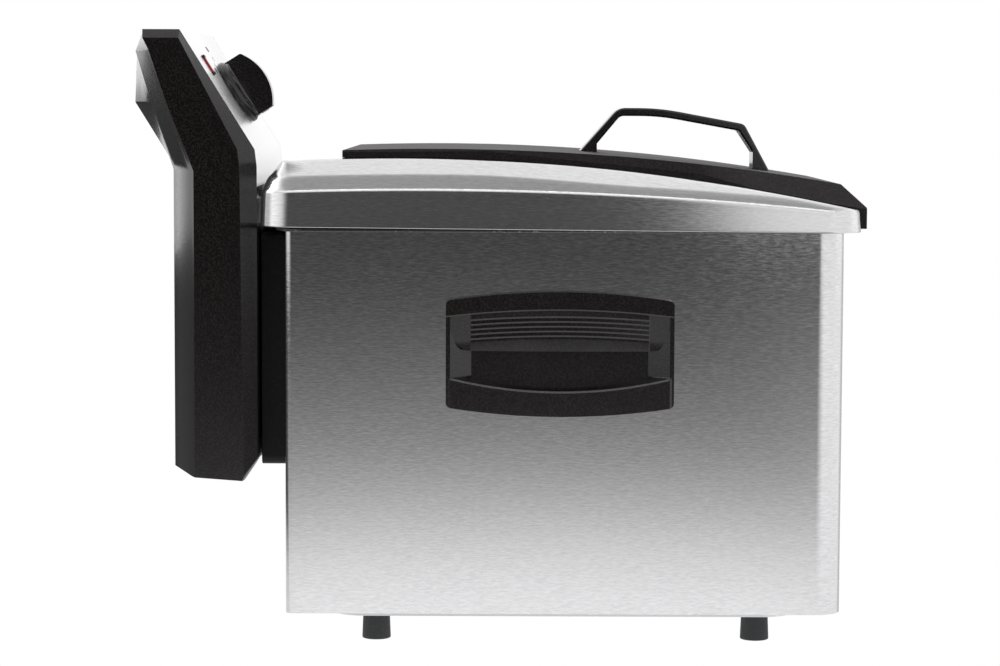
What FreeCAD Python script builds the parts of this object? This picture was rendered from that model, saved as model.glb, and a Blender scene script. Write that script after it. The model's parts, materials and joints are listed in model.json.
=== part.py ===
"""Deep fryer with a lift-off lid, a lift-out basket and bowl, and a detachable control head.

Millimetres. +X is the front, -X the rear where the control head hangs, +Z is up.
The feet stand on Z = 0. The pieces are drawn about the middle of the casing and
placed so that the origin lies under the middle of the whole fryer.
"""
import FreeCAD, Part
import math
import os
import re
import Sketcher
from FreeCAD import Placement, Rotation, Vector

SIZES = {
    # casing
    "casing_length": 320,
    "casing_width": 250,
    "casing_bottom": 20.5,
    "casing_height": 219.5,
    "casing_corner": 16,
    "casing_rear_corner": 4.5,
    "casing_lip": 10,
    "casing_hem": 8,
    "steel_wall": 1,
    # floor pan and feet
    "pan_drop": 3.5,
    "pan_inset_end": 25,
    "pan_inset_side": 12,
    "pan_corner": 20,
    "foot_middle": 1.9,
    "foot_spread_length": 222,
    "foot_spread_width": 178,
    "foot_top_width": 15.4,
    "foot_base_width": 16.8,
    "foot_recess": 8,
    # screws
    "screw_shank": 3.6,
    "screw_head": 7,
    "screw_head_height": 2,
    "screw_play": 0.2,
    "foot_screw_length": 13,
    "handle_screw_length": 5,
    "handle_screw_spread": 60,
    "bracket_screw_length": 12,
    "cover_screw_length": 4.4,
    "lid_screw_length": 14,
    # carrying handles
    "grip_length": 130,
    "grip_middle": -3,
    "grip_low_drop": 99,
    "grip_high_drop": 39.4,
    "grip_bow": 4.6,
    "grip_corner": 4,
    "bezel_depth": 5,
    "cup_inset": 6,
    "cup_depth": 17,
    "cup_wall": 2,
    "cup_play": 0.4,
    "lip_height": 11,
    "grip_plate_low_drop": 68.5,
    "grip_plate_high_drop": 44,
    "grip_plate_depth": 10,
    "grip_plate_behind": 2,
    "grip_plate_corner": 14,
    "rib_length": 103,
    "rib_pitch": 3,
    "rib_groove": 1.2,
    "rib_count": 5,
    # bracket that carries the control head
    "bracket_depth": 17.5,
    "bracket_width": 148,
    "bracket_low_drop": 140,
    "bracket_high_drop": 3,
    "bracket_wall": 3,
    "bracket_corner": 5,
    "boss_width": 9,
    "boss_spread_width": 110,
    "boss_spread_height": 90,
    "rail_width": 28,
    "rail_depth": 8,
    "rail_low_drop": 126,
    "rail_high_drop": 18,
    # clearances
    "seat_gap": 0.2,
    "slide_gap": 0.5,
    "press_gap": 0.1,
    # oil bowl
    "bowl_length": 292,
    "bowl_width": 200,
    "bowl_floor": 52,
    "bowl_corner": 36,
    "bowl_wall": 1.2,
    "bowl_bend": 14,
    "rim_overhang": 6,
    "rim_thickness": 1.6,
    # control head
    "head_gap": 0.8,
    "head_width": 200,
    "head_depth": 55,
    "head_low_drop": 146.5,
    "head_bend_rise": 36,
    "head_top_rise": 115,
    "head_wall": 2.5,
    "slope_angle": 32,
    "bend_height": 10,
    "bend_depth": 1.2,
    "toe_height": 12.5,
    "toe_depth": 7.5,
    "front_chamfer_width": 6,
    "front_chamfer_depth": 9.5,
    "side_top_drop": 5,
    "heel_rise": 4,
    "facet_half_width": 60,
    "bulge_half_width": 20,
    "bulge_rise": 73,
    "bulge_depth": 24.5,
    "bulge_fall": 1.3,
    "rear_bend_drop": 2.5,
    "shoulder_rise": 103,
    "shoulder_fall": 8,
    "top_rear_depth": 69.5,
    "facet_low_depth": 52,
    "facet_bulge_depth": 65,
    "facet_shoulder_depth": 74,
    "side_low_depth": 36,
    "side_bulge_depth": 51.5,
    "side_shoulder_depth": 61.5,
    "side_top_depth": 65,
    "window_margin": 16,
    "window_low_drop": 124,
    "window_high_rise": 22,
    "plate_low_rise": 24.5,
    "plate_fold": 14,
    "cover_margin": 6,
    "channel_wall": 3,
    "plate_thickness": 1,
    # knob and controls
    "knob_rise": 78.2,
    "knob_skirt_width": 41,
    "knob_skirt_height": 5,
    "knob_cap_width": 38,
    "knob_rim_height": 16.2,
    "knob_crown_height": 21.8,
    "knob_bar_width": 12,
    "knob_bar_root": 7.2,
    "knob_float": 0.6,
    "spindle_width": 6,
    "spindle_reach": 12,
    "thermostat_size": 34,
    "thermostat_depth": 22,
    "lamp_rise": 94.5,
    "lamp_side": 60,
    "lamp_length": 13,
    "lamp_width": 4.4,
    "lamp_proud": 1.4,
    "lamp_flange": 2,
    "lamp_bulb_width": 6,
    "lamp_bulb_length": 18,
    "reset_drop": 90,
    "reset_width": 9,
    "reset_proud": 2.4,
    "reset_travel": 2,
    "cutout_width": 18,
    "cutout_length": 16,
    "switch_side": 40,
    "switch_drop": 60,
    "switch_length": 20,
    "switch_width": 10,
    "switch_depth": 12,
    "block_side": 46,
    "block_drop": 90,
    "block_length": 36,
    "block_height": 18,
    "block_depth": 14,
    "gland_side": 45,
    "gland_back": 32,
    "gland_boss": 24,
    "gland_boss_drop": 0.5,
    "gland_neck": 12,
    "gland_nose": 14,
    "gland_inside": 12,
    "gland_flange": 20,
    "gland_flange_height": 3,
    "gland_bore": 8,
    "gland_reach": 9,
    # heating element
    "bridge_width": 132,
    "bridge_height": 15,
    "bridge_wall": 1.2,
    "bridge_tab": 5,
    "shield_low": 84,
    "shield_gap": 1,
    "leg_gap": 2.8,
    "tube_width": 8,
    "tube_bend": 12,
    "tube_low": 62,
    "tube_reach": 108,
    "tube_spacing": 36,
    "tube_return": 34,
    "tube_inside": 8,
    "pin_width": 3,
    "pin_length": 12,
    "bulb_width": 6,
    "bulb_length": 75,
    "bulb_low": 92,
    "bulb_side": 20,
    "capillary_width": 2,
    "capillary_bend": 4,
    "clip_height": 8,
    "clip_width": 12,
    # basket
    "basket_rear_gap": 7,
    "basket_front_gap": 11,
    "basket_side_gap": 13,
    "basket_height": 140,
    "basket_corner": 22,
    "basket_wall": 1.6,
    "basket_wire": 4,
    "rim_wire": 5,
    "support_inset": 60,
    "socket_width": 36,
    "socket_height": 40,
    "socket_depth": 6.5,
    "socket_bore": 6,
    "socket_spread": 22,
    # lid
    "lid_front_overhang": 8.5,
    "lid_rear_overhang": 14,
    "lid_side_overhang": 9,
    "lid_corner": 20,
    "lid_wall": 1.2,
    "lid_hem": 12,
    "skirt_height": 22.3,
    "skirt_arc": 2300,
    "skirt_peak": -80,
    "skirt_bend": 5,
    "shoulder_inset": 22,
    "crease_inset": 7.7,
    "crease_lift": 2.2,
    "crest_rise": 17.7,
    "crest_arc": 1200,
    "crest_peak": -95,
    "rear_shoulder": 8,
    "rear_shoulder_drop": 14,
    "front_shoulder": 4,
    "notch_play": 2,
    # lid trim and handle
    "trim_rear": -128,
    "trim_half_width": 108,
    "trim_rise": 5,
    "trim_arc": 1400,
    "trim_peak": -75,
    "trim_wall": 2.4,
    "trim_gap": 0.2,
    "trim_bevel_start": -45,
    "trim_bevel_middle": 77,
    "trim_bevel_full": 118,
    "bevel_edge": 1,
    "bevel_middle_drop": 5.4,
    "bevel_middle_inset": 3.9,
    "bevel_full_drop": 11.5,
    "bevel_full_inset": 16,
    "nose_front": 160,
    "nose_knee": 13,
    "hook_gap": 1,
    "hook_thickness": 3.8,
    "strap_rear": 11,
    "strap_front": 126,
    "strap_foot": 10.2,
    "strap_width": 24,
    "strap_thickness": 4.9,
    "strap_rise": 68.5,
    "strap_fall": 9.5,
    "strap_lean_rear": 23,
    "strap_lean_front": 15.4,
    "strap_crown": 49,
}

# Heights that follow the top edge of the casing.
HEIGHTS = {
    "casing_top": "casing_bottom + casing_height",
    "grip_corner_low": "casing_top - grip_low_drop",
    "grip_corner_high": "casing_top - grip_high_drop",
    "grip_plate_low": "casing_top - grip_plate_low_drop",
    "grip_plate_high": "casing_top - grip_plate_high_drop",
    "bracket_low": "casing_top - bracket_low_drop",
    "bracket_high": "casing_top - bracket_high_drop",
    "rail_low": "casing_top - rail_low_drop",
    "rail_high": "casing_top - rail_high_drop",
    "head_low": "casing_top - head_low_drop",
    "head_bend": "casing_top + head_bend_rise",
    "head_top": "casing_top + head_top_rise",
    "bulge_height": "casing_top + bulge_rise",
    "shoulder_height": "casing_top + shoulder_rise",
    "window_low": "casing_top - window_low_drop",
    "window_high": "casing_top + window_high_rise",
    "plate_low": "casing_top + plate_low_rise",
    "knob_height": "casing_top + knob_rise",
    "lamp_height": "casing_top + lamp_rise",
    "reset_height": "casing_top - reset_drop",
}

doc = FreeCAD.newDocument("deep_fryer")
sheet = doc.addObject("Spreadsheet::Sheet", "Sizes")
for row, (alias, number) in enumerate(SIZES.items(), 1):
    sheet.set("A%d" % row, alias)
    sheet.set("B%d" % row, str(number))
    sheet.setAlias("B%d" % row, alias)
for row, (alias, formula) in enumerate(HEIGHTS.items(), len(SIZES) + 1):
    sheet.set("A%d" % row, alias)
    sheet.set("B%d" % row, "=" + formula)
    sheet.setAlias("B%d" % row, alias)
working = doc.addObject("Spreadsheet::Sheet", "Working")
doc.recompute()

HALF_LENGTH = "casing_length / 2"
HALF_WIDTH = "casing_width / 2"
PAN_BOTTOM = "(casing_bottom - pan_drop)"
RIM_BOTTOM = "(casing_top + seat_gap)"
RIM_TOP = "(%s + rim_thickness)" % RIM_BOTTOM
LID_BOTTOM = "(%s + seat_gap)" % RIM_TOP
SKIRT_TOP = "(%s + skirt_height)" % LID_BOTTOM
CREST = "(%s + crest_rise)" % SKIRT_TOP
LID_REAR = "(-%s - lid_rear_overhang)" % HALF_LENGTH
LID_FRONT = "(%s + lid_front_overhang)" % HALF_LENGTH
LID_SIDE = "(%s + lid_side_overhang)" % HALF_WIDTH
BRACKET_REAR = "(-%s - bracket_depth)" % HALF_LENGTH
HEAD_FRONT = "(%s - head_gap)" % BRACKET_REAR
HEAD_INSIDE = "(%s - head_wall)" % HEAD_FRONT
COVER_INSIDE = "(%s - head_wall)" % HEAD_INSIDE
CHANNEL_TOP = "(rail_high + slide_gap / 2)"
LEG_X = "(-bowl_length / 2 + bowl_wall + leg_gap + tube_width / 2)"
SHIELD_X = "(%s + tube_width / 2 + shield_gap)" % LEG_X
BRIDGE_LOW = "(%s + seat_gap)" % RIM_TOP
BRIDGE_TOP = "(%s + bridge_height)" % BRIDGE_LOW
TUBE_HIGH = "(%s - bridge_wall - tube_width / 2 - seat_gap)" % BRIDGE_TOP
LEG_SIDE = "(tube_spacing * 1.5)"
BASKET_LOW = "(tube_low + tube_width / 2 + seat_gap + basket_wire)"
BASKET_REAR = "(%s + bridge_wall + basket_rear_gap)" % SHIELD_X
BASKET_FRONT = "(bowl_length / 2 - bowl_wall - basket_front_gap)"
BASKET_SIDE = "(bowl_width / 2 - bowl_wall - basket_side_gap)"
BASKET_TOP = "(%s + basket_height)" % BASKET_LOW
SLOPE_X = "(%s - bend_depth)" % HEAD_FRONT
SLOPE_Z = "(head_bend + bend_height)"
MIDDLE = ("((bracket_depth + head_gap + head_depth + bulge_depth"
          " - lid_front_overhang - hook_gap - hook_thickness) / 2)")

SCREW_HOLE = "(screw_shank + 2 * screw_play)"
FOOT_FRONT = "(foot_middle + foot_spread_length / 2)"
FOOT_REAR = "(foot_middle - foot_spread_length / 2)"

PLANES = {"XY": "XY_Plane", "XZ": "XZ_Plane", "YZ": "YZ_Plane"}
WORD = re.compile(r"[a-z][a-z_]+")
pieces = []


def link(formula):
    """Point every size named in a formula at its cell."""
    def cell(found):
        name = found.group()
        return "Sizes." + name if name in SIZES or name in HEIGHTS else name
    return WORD.sub(cell, formula)


def value(formula):
    """Work a formula out as a number."""
    working.set("A1", "=" + link(formula))
    working.recompute()
    return float(working.get("A1"))


def arc_height(across, top, radius, peak):
    """Height of a shallow arc over the length, as a formula."""
    return "(%s - %s + sqrt(%s ^ 2 - (%s - %s) ^ 2))" % (top, radius, radius, across, peak)


def crest_height(across):
    return arc_height("(%s)" % across, CREST, "crest_arc", "crest_peak")


def trim_height(across):
    return arc_height("(%s)" % across, "(%s + trim_rise)" % CREST, "trim_arc", "trim_peak")


def slope_x(height):
    """Where the sloping face of the control head stands at a height."""
    return "(%s - (%s - %s) * tan(slope_angle))" % (SLOPE_X, height, SLOPE_Z)


def place(piece, across="0", side="0", up="0", axis=Vector(0, 0, 1), angle="0"):
    """Bind a piece's place and turn."""
    piece.Placement = Placement(Vector(), Rotation(axis, value(angle)))
    piece.setExpression("Placement.Base.x", link("%s + %s" % (MIDDLE, across)))
    piece.setExpression("Placement.Base.y", link(side))
    piece.setExpression("Placement.Base.z", link(up))
    if angle != "0":
        piece.setExpression("Placement.Rotation.Angle", link(angle))


def new_body(label, **where):
    body = doc.addObject("PartDesign::Body", label)
    body.Label = label
    place(body, **where)
    pieces.append(body)
    return body


def new_solid(label, shape):
    """A piece whose form comes straight from lofts, sweeps and booleans."""
    piece = doc.addObject("Part::Feature", label)
    piece.Label = label
    piece.Shape = shape
    piece.Placement = Placement(Vector(value(MIDDLE), 0, 0), Rotation())
    pieces.append(piece)
    return piece


def box_corners(low_across, high_across, low_up, high_up, radius=None):
    corners = [(low_across, low_up), (high_across, low_up), (high_across, high_up), (low_across, high_up)]
    if radius is None:
        return corners
    return [corner + (radius,) for corner in corners]


def rectangle(half_across, half_up, radius=None):
    return box_corners("-(%s)" % half_across, half_across, "-(%s)" % half_up, half_up, radius)


def new_sketch(body, plane, level):
    sketch = body.newObject("Sketcher::SketchObject", "Sketch")
    for feature in body.Origin.OriginFeatures:
        if feature.Role == PLANES[plane]:
            sketch.AttachmentSupport = [(feature, "")]
    sketch.MapMode = "FlatFace"
    # The XZ plane faces -Y, so a level along +Y is a negative offset there.
    offset = "-(%s)" % level if plane == "XZ" else level
    sketch.setExpression("AttachmentOffset.Base.z", link(offset))
    return sketch


def fix(sketch, kind, geometry, point, formula):
    number = sketch.addConstraint(Sketcher.Constraint(kind, geometry, point, value(formula)))
    sketch.setExpression("Constraints[%d]" % number, link(formula))


def bend_points(before, corner, after, radius):
    """Tangent points, centre and turn of an arc that rounds a corner."""
    back = (before - corner).normalize()
    ahead = (after - corner).normalize()
    half = back.getAngle(ahead) / 2
    reach = radius / math.tan(half)
    middle = (back + ahead).normalize() * (radius / math.sin(half))
    return corner + back * reach, corner + ahead * reach, corner + middle


def draw_outline(sketch, corners):
    """Closed outline of lines; a corner with a third formula is rounded to that radius."""
    count = len(corners)
    points = [Vector(value(corner[0]), value(corner[1]), 0) for corner in corners]
    entry = list(points)
    leave = list(points)
    centres = [None] * count
    for index, corner in enumerate(corners):
        if len(corner) > 2:
            entry[index], leave[index], centres[index] = bend_points(
                points[index - 1], points[index], points[(index + 1) % count], value(corner[2]))
    first = sketch.GeometryCount
    for index in range(count):
        sketch.addGeometry(Part.LineSegment(leave[index], entry[(index + 1) % count]), False)
    for index, corner in enumerate(corners):
        before = first + (index - 1) % count
        after = first + index
        if centres[index] is None:
            sketch.addConstraint(Sketcher.Constraint("Coincident", before, 2, after, 1))
            fix(sketch, "DistanceX", after, 1, corner[0])
            fix(sketch, "DistanceY", after, 1, corner[1])
            continue
        turn = (entry[index] - points[index - 1]).cross(points[(index + 1) % count] - leave[index]).z
        start, end = (entry[index], leave[index]) if turn > 0 else (leave[index], entry[index])
        circle = Part.Circle(centres[index], Vector(0, 0, 1), value(corner[2]))
        arc = sketch.addGeometry(
            Part.ArcOfCircle(circle, circle.parameter(start), circle.parameter(end)), False)
        into, out = (1, 2) if turn > 0 else (2, 1)
        sketch.addConstraint(Sketcher.Constraint("Tangent", before, 2, arc, into))
        sketch.addConstraint(Sketcher.Constraint("Tangent", arc, out, after, 1))
        number = sketch.addConstraint(Sketcher.Constraint("Radius", arc, value(corner[2])))
        sketch.setExpression("Constraints[%d]" % number, link(corner[2]))
        point = sketch.addGeometry(Part.Point(points[index]), True)
        sketch.addConstraint(Sketcher.Constraint("PointOnObject", point, 1, before))
        sketch.addConstraint(Sketcher.Constraint("PointOnObject", point, 1, after))
        fix(sketch, "DistanceX", point, 1, corner[0])
        fix(sketch, "DistanceY", point, 1, corner[1])


def draw_circle(sketch, across, up, width):
    centre = Vector(value(across), value(up), 0)
    circle = sketch.addGeometry(Part.Circle(centre, Vector(0, 0, 1), value(width) / 2), False)
    number = sketch.addConstraint(Sketcher.Constraint("Diameter", circle, value(width)))
    sketch.setExpression("Constraints[%d]" % number, link(width))
    fix(sketch, "DistanceX", circle, 3, across)
    fix(sketch, "DistanceY", circle, 3, up)


def draw(sketch, shape):
    """Draw an outline given as corners, or circles given as (across, up, width)."""
    if shape[0] == "circles":
        for across, up, width in shape[1:]:
            draw_circle(sketch, across, up, width)
    else:
        draw_outline(sketch, shape)


def add(body, plane, shape, level, length, way=1):
    """Pad an outline from a level; way 0 pads both ways from it."""
    sketch = new_sketch(body, plane, level)
    draw(sketch, shape)
    pad = body.newObject("PartDesign::Pad", "Pad")
    pad.Profile = sketch
    pad.setExpression("Length", link(length))
    if way == 0:
        pad.SideType = "Symmetric"
    else:
        pad.Reversed = (way > 0) == (plane == "XZ")
    doc.recompute()
    return pad


def cut(body, plane, shape, level, length, way=1):
    """Pocket an outline from a level; way 0 cuts both ways from it."""
    before = body.Shape.Volume
    sketch = new_sketch(body, plane, level)
    draw(sketch, shape)
    pocket = body.newObject("PartDesign::Pocket", "Pocket")
    pocket.Profile = sketch
    pocket.setExpression("Length", link(length))
    if way == 0:
        pocket.SideType = "Symmetric"
    else:
        pocket.Reversed = (way > 0) != (plane == "XZ")
    doc.recompute()
    if not body.Shape.Volume < before:
        raise RuntimeError("%s: a pocket cuts nothing" % body.Label)
    return pocket


def turned(body, corners):
    """Revolve an outline, given as (radius, height), about the body's own Z axis."""
    sketch = new_sketch(body, "XZ", "0")
    draw_outline(sketch, corners)
    revolution = body.newObject("PartDesign::Revolution", "Revolution")
    revolution.Profile = sketch
    revolution.ReferenceAxis = (sketch, ["V_Axis"])
    revolution.Angle = 360
    doc.recompute()
    return revolution


def soften(body, chosen, radius):
    """Fillet the edges of the body's last feature that a test picks out."""
    tip = body.Tip
    names = ["Edge%d" % (index + 1) for index, edge in enumerate(tip.Shape.Edges) if chosen(edge)]
    fillet = body.newObject("PartDesign::Fillet", "Fillet")
    fillet.Base = (tip, names)
    fillet.setExpression("Radius", link(radius))
    doc.recompute()
    return fillet


def at_height(height):
    """Test for edges that lie flat at a height."""
    level = value(height)

    def test(edge):
        box = edge.BoundBox
        return abs(box.ZMin - level) < 1e-4 and abs(box.ZMax - level) < 1e-4
    return test


def polyline(points):
    return Part.makePolygon(list(points) + [points[0]])


def bent_wire(points, radii, closed=False):
    """Straight runs joined by tangent arcs."""
    count = len(points)
    corners = range(count) if closed else range(1, count - 1)
    entry = dict(enumerate(points))
    leave = dict(enumerate(points))
    arcs = {}
    for index in corners:
        if radii[index] > 0:
            before, after = points[index - 1], points[(index + 1) % count]
            entry[index], leave[index], centre = bend_points(before, points[index], after, radii[index])
            inward = (points[index] - centre).normalize() * radii[index]
            arcs[index] = Part.Arc(entry[index], centre + inward, leave[index]).toShape()
    edges = []
    for index in range(count if closed else count - 1):
        following = (index + 1) % count
        if (leave[index] - entry[following]).Length > 1e-6:
            edges.append(Part.makeLine(leave[index], entry[following]))
        if following in arcs:
            edges.append(arcs[following])
    return Part.Wire(edges)


def tube(points, radii, width):
    """A round bar or tube bent along straight runs and arcs."""
    path = bent_wire(points, radii)
    start = (points[1] - points[0]).normalize()
    ring = Part.Wire(Part.makeCircle(width / 2, points[0], start))
    return path.makePipeShell([ring], True, True)


def inset(points, depth):
    """Move every side of a flat outline inwards; points are (across, up) pairs."""
    count = len(points)
    area = sum(points[i][0] * points[(i + 1) % count][1] - points[(i + 1) % count][0] * points[i][1]
               for i in range(count))
    sign = 1 if area > 0 else -1
    moved = []
    for index in range(count):
        before, here, after = points[index - 1], points[index], points[(index + 1) % count]
        lines = []
        for start, end in ((before, here), (here, after)):
            run = Vector(end[0] - start[0], end[1] - start[1], 0).normalize()
            normal = Vector(-run.y, run.x, 0) * sign
            lines.append((run, normal))
        (_, first), (_, second) = lines
        share = depth / (1 + first.dot(second))
        moved.append((here[0] + (first.x + second.x) * share, here[1] + (first.y + second.y) * share))
    return moved


def prism(points, depth, plane, level=0):
    """Solid from a flat outline pushed along the third axis from a level."""
    if plane == "XZ":
        wire = polyline([Vector(across, level, up) for across, up in points])
        return Part.Face(wire).extrude(Vector(0, depth, 0))
    if plane == "YZ":
        wire = polyline([Vector(level, across, up) for across, up in points])
        return Part.Face(wire).extrude(Vector(depth, 0, 0))
    wire = polyline([Vector(across, up, level) for across, up in points])
    return Part.Face(wire).extrude(Vector(0, 0, depth))


def block(low, high):
    """Box between two corners."""
    return Part.makeBox(high[0] - low[0], high[1] - low[1], high[2] - low[2], Vector(*low))


def screws(label, seats, length):
    """Pan-head screws as one group; each seat is where a head bears and which way its shank points."""
    height = value("screw_head_height")
    cap = Part.makeCylinder(value("screw_head") / 2, height, Vector(0, 0, -height))
    screw = cap.fuse(Part.makeCylinder(value("screw_shank") / 2, value(length))).removeSplitter()
    copies = []
    for seat, direction in seats:
        copy = screw.copy()
        copy.Placement = Placement(seat, Rotation(Vector(0, 0, 1), direction))
        copies.append(copy)
    return new_solid(label, Part.makeCompound(copies))


def casing_outline(smaller):
    """Plan of the casing, made smaller all round. It is bent tighter at the rear than at the front."""
    plan = rectangle("%s - %s" % (HALF_LENGTH, smaller), "%s - %s" % (HALF_WIDTH, smaller))
    bends = ("casing_rear_corner", "casing_corner", "casing_corner", "casing_rear_corner")
    return [corner + ("%s - %s" % (bend, smaller),) for corner, bend in zip(plan, bends)]


def outer_casing():
    body = new_body("outer_casing")
    add(body, "XY", casing_outline("0"), "casing_bottom", "casing_height")
    cut(body, "XY", casing_outline("steel_wall"), "casing_bottom + steel_wall", "casing_height - 2 * steel_wall")
    cut(body, "XY",
        rectangle(HALF_LENGTH + " - steel_wall - casing_lip", HALF_WIDTH + " - steel_wall - casing_lip",
                  "casing_corner"), "casing_top", "steel_wall * 2", -1)
    cut(body, "XY",
        rectangle(HALF_LENGTH + " - steel_wall - casing_hem", HALF_WIDTH + " - steel_wall - casing_hem",
                  "casing_corner"), "casing_bottom", "steel_wall * 2")
    cut(body, "XZ", cup_outline("-cup_play", "grip_middle"), "0", "casing_width + 2 * steel_wall", 0)
    handle_holes = [(x, HANDLE_SCREW_LEVEL, SCREW_HOLE) for x in handle_screw_places("grip_middle")]
    cut(body, "XZ", ["circles"] + handle_holes, "0", "casing_width + 2 * steel_wall", 0)
    bracket_holes = [(y, z, SCREW_HOLE) for y, z in bracket_screw_places()]
    cut(body, "YZ", ["circles"] + bracket_holes, "-%s - steel_wall" % HALF_LENGTH, "steel_wall * 3")


def base_plate():
    body = new_body("base_plate")
    pan_length = HALF_LENGTH + " - pan_inset_end"
    pan_width = HALF_WIDTH + " - pan_inset_side"
    add(body, "XY", casing_outline("(steel_wall + seat_gap)"), "casing_bottom + steel_wall", "steel_wall")
    add(body, "XY", rectangle(pan_length, pan_width, "pan_corner"), PAN_BOTTOM, "pan_drop + 2 * steel_wall")
    cut(body, "XY", rectangle(pan_length + " - steel_wall", pan_width + " - steel_wall",
                              "pan_corner - steel_wall"),
        PAN_BOTTOM + " + steel_wall", "pan_drop + 2 * steel_wall")
    holes = [(x, y, SCREW_HOLE) for x, y in foot_places()]
    cut(body, "XY", ["circles"] + holes, PAN_BOTTOM + " - steel_wall", "steel_wall * 3")


def foot_places():
    return [(end, side + "foot_spread_width / 2") for end in (FOOT_FRONT, FOOT_REAR) for side in ("", "-")]


def feet():
    names = ["foot_front_left", "foot_front_right", "foot_rear_left", "foot_rear_right"]
    hole = "screw_shank / 2 + screw_play"
    recess = "screw_head / 2 + 3 * screw_play"
    for name, (across, side) in zip(names, foot_places()):
        body = new_body(name, across=across, side=side)
        turned(body, [(recess, "0"), ("foot_base_width / 2", "0"), ("foot_top_width / 2", PAN_BOTTOM),
                      (hole, PAN_BOTTOM), (hole, "foot_recess"), (recess, "foot_recess")])
    seats = [(Vector(value(x), value(y), value("foot_recess")), Vector(0, 0, 1)) for x, y in foot_places()]
    screws("foot_screws", seats, "foot_screw_length")


CUP_LOW = "(grip_corner_low + cup_inset)"
CUP_HIGH = "(grip_corner_high - cup_inset)"
HANDLE_SCREW_LEVEL = "(%s + cup_play + screw_head / 2 + screw_play)" % CUP_HIGH


def cup_outline(smaller, middle):
    """Outline of the handle's cup, made smaller all round."""
    half = "(grip_length / 2 - cup_inset - (%s))" % smaller
    return box_corners("%s - %s" % (middle, half), "%s + %s" % (middle, half),
                       "%s + %s" % (CUP_LOW, smaller), "%s - (%s)" % (CUP_HIGH, smaller),
                       "grip_corner")


def handle_screw_places(middle):
    return [middle + " - handle_screw_spread / 2", middle + " + handle_screw_spread / 2"]


def bowed(half, low, high, bow_low, bow_high, corner, bend):
    """Four-sided outline whose lower and upper sides bow outwards at mid length."""
    return [("-(%s)" % half, low, corner), ("0", "%s - 2 * (%s)" % (low, bow_low), bend),
            (half, low, corner), (half, high, corner),
            ("0", "%s + 2 * (%s)" % (high, bow_high), bend), ("-(%s)" % half, high, corner)]


def side_handle(label, angle):
    """One moulded carrying handle: bezel, finger cup and ribbed grip plate."""
    body = new_body(label, across="grip_middle", angle=angle)
    half = "grip_length / 2"
    bend = "grip_length * 2.6"
    outside = "-%s" % HALF_WIDTH
    face = "%s - bezel_depth" % outside
    add(body, "XZ", bowed(half, "grip_corner_low", "grip_corner_high", "grip_bow", "grip_bow",
                          "grip_corner", bend), outside, "bezel_depth", -1)
    add(body, "XZ", cup_outline("0", "0"), outside, "cup_depth", 1)
    lip = bowed("grip_length / 2 - cup_inset - cup_wall", "grip_corner_low + lip_height",
                "%s - cup_wall" % CUP_HIGH, "grip_bow / 2", "0.1", "grip_corner", bend)
    cut(body, "XZ", lip, face, "bezel_depth + cup_depth - cup_wall", 1)
    plate = [("-(%s - cup_wall)" % half, "grip_plate_high"),
             ("-(%s - cup_wall)" % half, "grip_plate_low", "grip_plate_corner"),
             ("%s - cup_wall" % half, "grip_plate_low", "grip_plate_corner"),
             ("%s - cup_wall" % half, "grip_plate_high")]
    add(body, "XZ", plate, "%s - grip_plate_behind" % outside, "grip_plate_depth - grip_plate_behind", -1)
    front = "%s - grip_plate_depth" % outside
    soften(body, front_edges(front, "grip_plate_high"), "cup_wall")
    for index in range(int(value("rib_count"))):
        low = "grip_plate_low + rib_pitch * %d" % (index + 2)
        groove = bowed("rib_length / 2", low, low + " + rib_groove", "-grip_bow / 2", "grip_bow / 2",
                       "rib_groove / 3", bend)
        cut(body, "XZ", groove, front, "rib_groove", 1)
    holes = [(x, HANDLE_SCREW_LEVEL, SCREW_HOLE) for x in handle_screw_places("0")]
    cut(body, "XZ", ["circles"] + holes, outside, "handle_screw_length - steel_wall", -1)


def front_edges(face, high):
    """Test for edges on the grip plate's front face, below its top edge."""
    level = value(face)
    top = value(high)

    def test(edge):
        box = edge.BoundBox
        return abs(box.YMin - level) < 1e-4 and abs(box.YMax - level) < 1e-4 and box.ZMin < top - 1e-4
    return test


def handle_screws():
    wall = value(HALF_WIDTH) - value("steel_wall")
    height = value(HANDLE_SCREW_LEVEL)
    seats = []
    for side in (-1, 1):
        for across in handle_screw_places("grip_middle"):
            seats.append((Vector(value(across), side * wall, height), Vector(0, side, 0)))
    screws("handle_screws", seats, "handle_screw_length")


def bracket_screw_places():
    middle = "((bracket_low + bracket_high) / 2)"
    return [(side + "boss_spread_width / 2", "%s %s boss_spread_height / 2" % (middle, sign))
            for side in ("", "-") for sign in ("+", "-")]


def rear_bracket():
    body = new_body("rear_bracket")
    half = "bracket_width / 2"
    add(body, "YZ", box_corners("-" + half, half, "bracket_low", "bracket_high", "bracket_corner"),
        BRACKET_REAR, "bracket_depth")
    inner = "(bracket_width / 2 - bracket_wall)"
    cut(body, "YZ", box_corners("-" + inner, inner, "bracket_low + bracket_wall",
                                "bracket_high - bracket_wall", "bracket_corner - bracket_wall / 2"),
        "-" + HALF_LENGTH, "bracket_depth - bracket_wall", -1)
    bosses = [(y, z, "boss_width") for y, z in bracket_screw_places()]
    add(body, "YZ", ["circles"] + bosses, BRACKET_REAR + " + bracket_wall / 2", "bracket_depth - bracket_wall / 2")
    holes = [(y, z, SCREW_HOLE) for y, z in bracket_screw_places()]
    cut(body, "YZ", ["circles"] + holes, "-" + HALF_LENGTH, "bracket_screw_length", -1)
    rail = "rail_width / 2"
    add(body, "YZ", box_corners("-" + rail, rail, "rail_low", "rail_high"), BRACKET_REAR, "rail_depth", -1)
    wall = -value(HALF_LENGTH) + value("steel_wall")
    seats = [(Vector(wall, value(y), value(z)), Vector(-1, 0, 0)) for y, z in bracket_screw_places()]
    screws("bracket_screws", seats, "bracket_screw_length")


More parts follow.
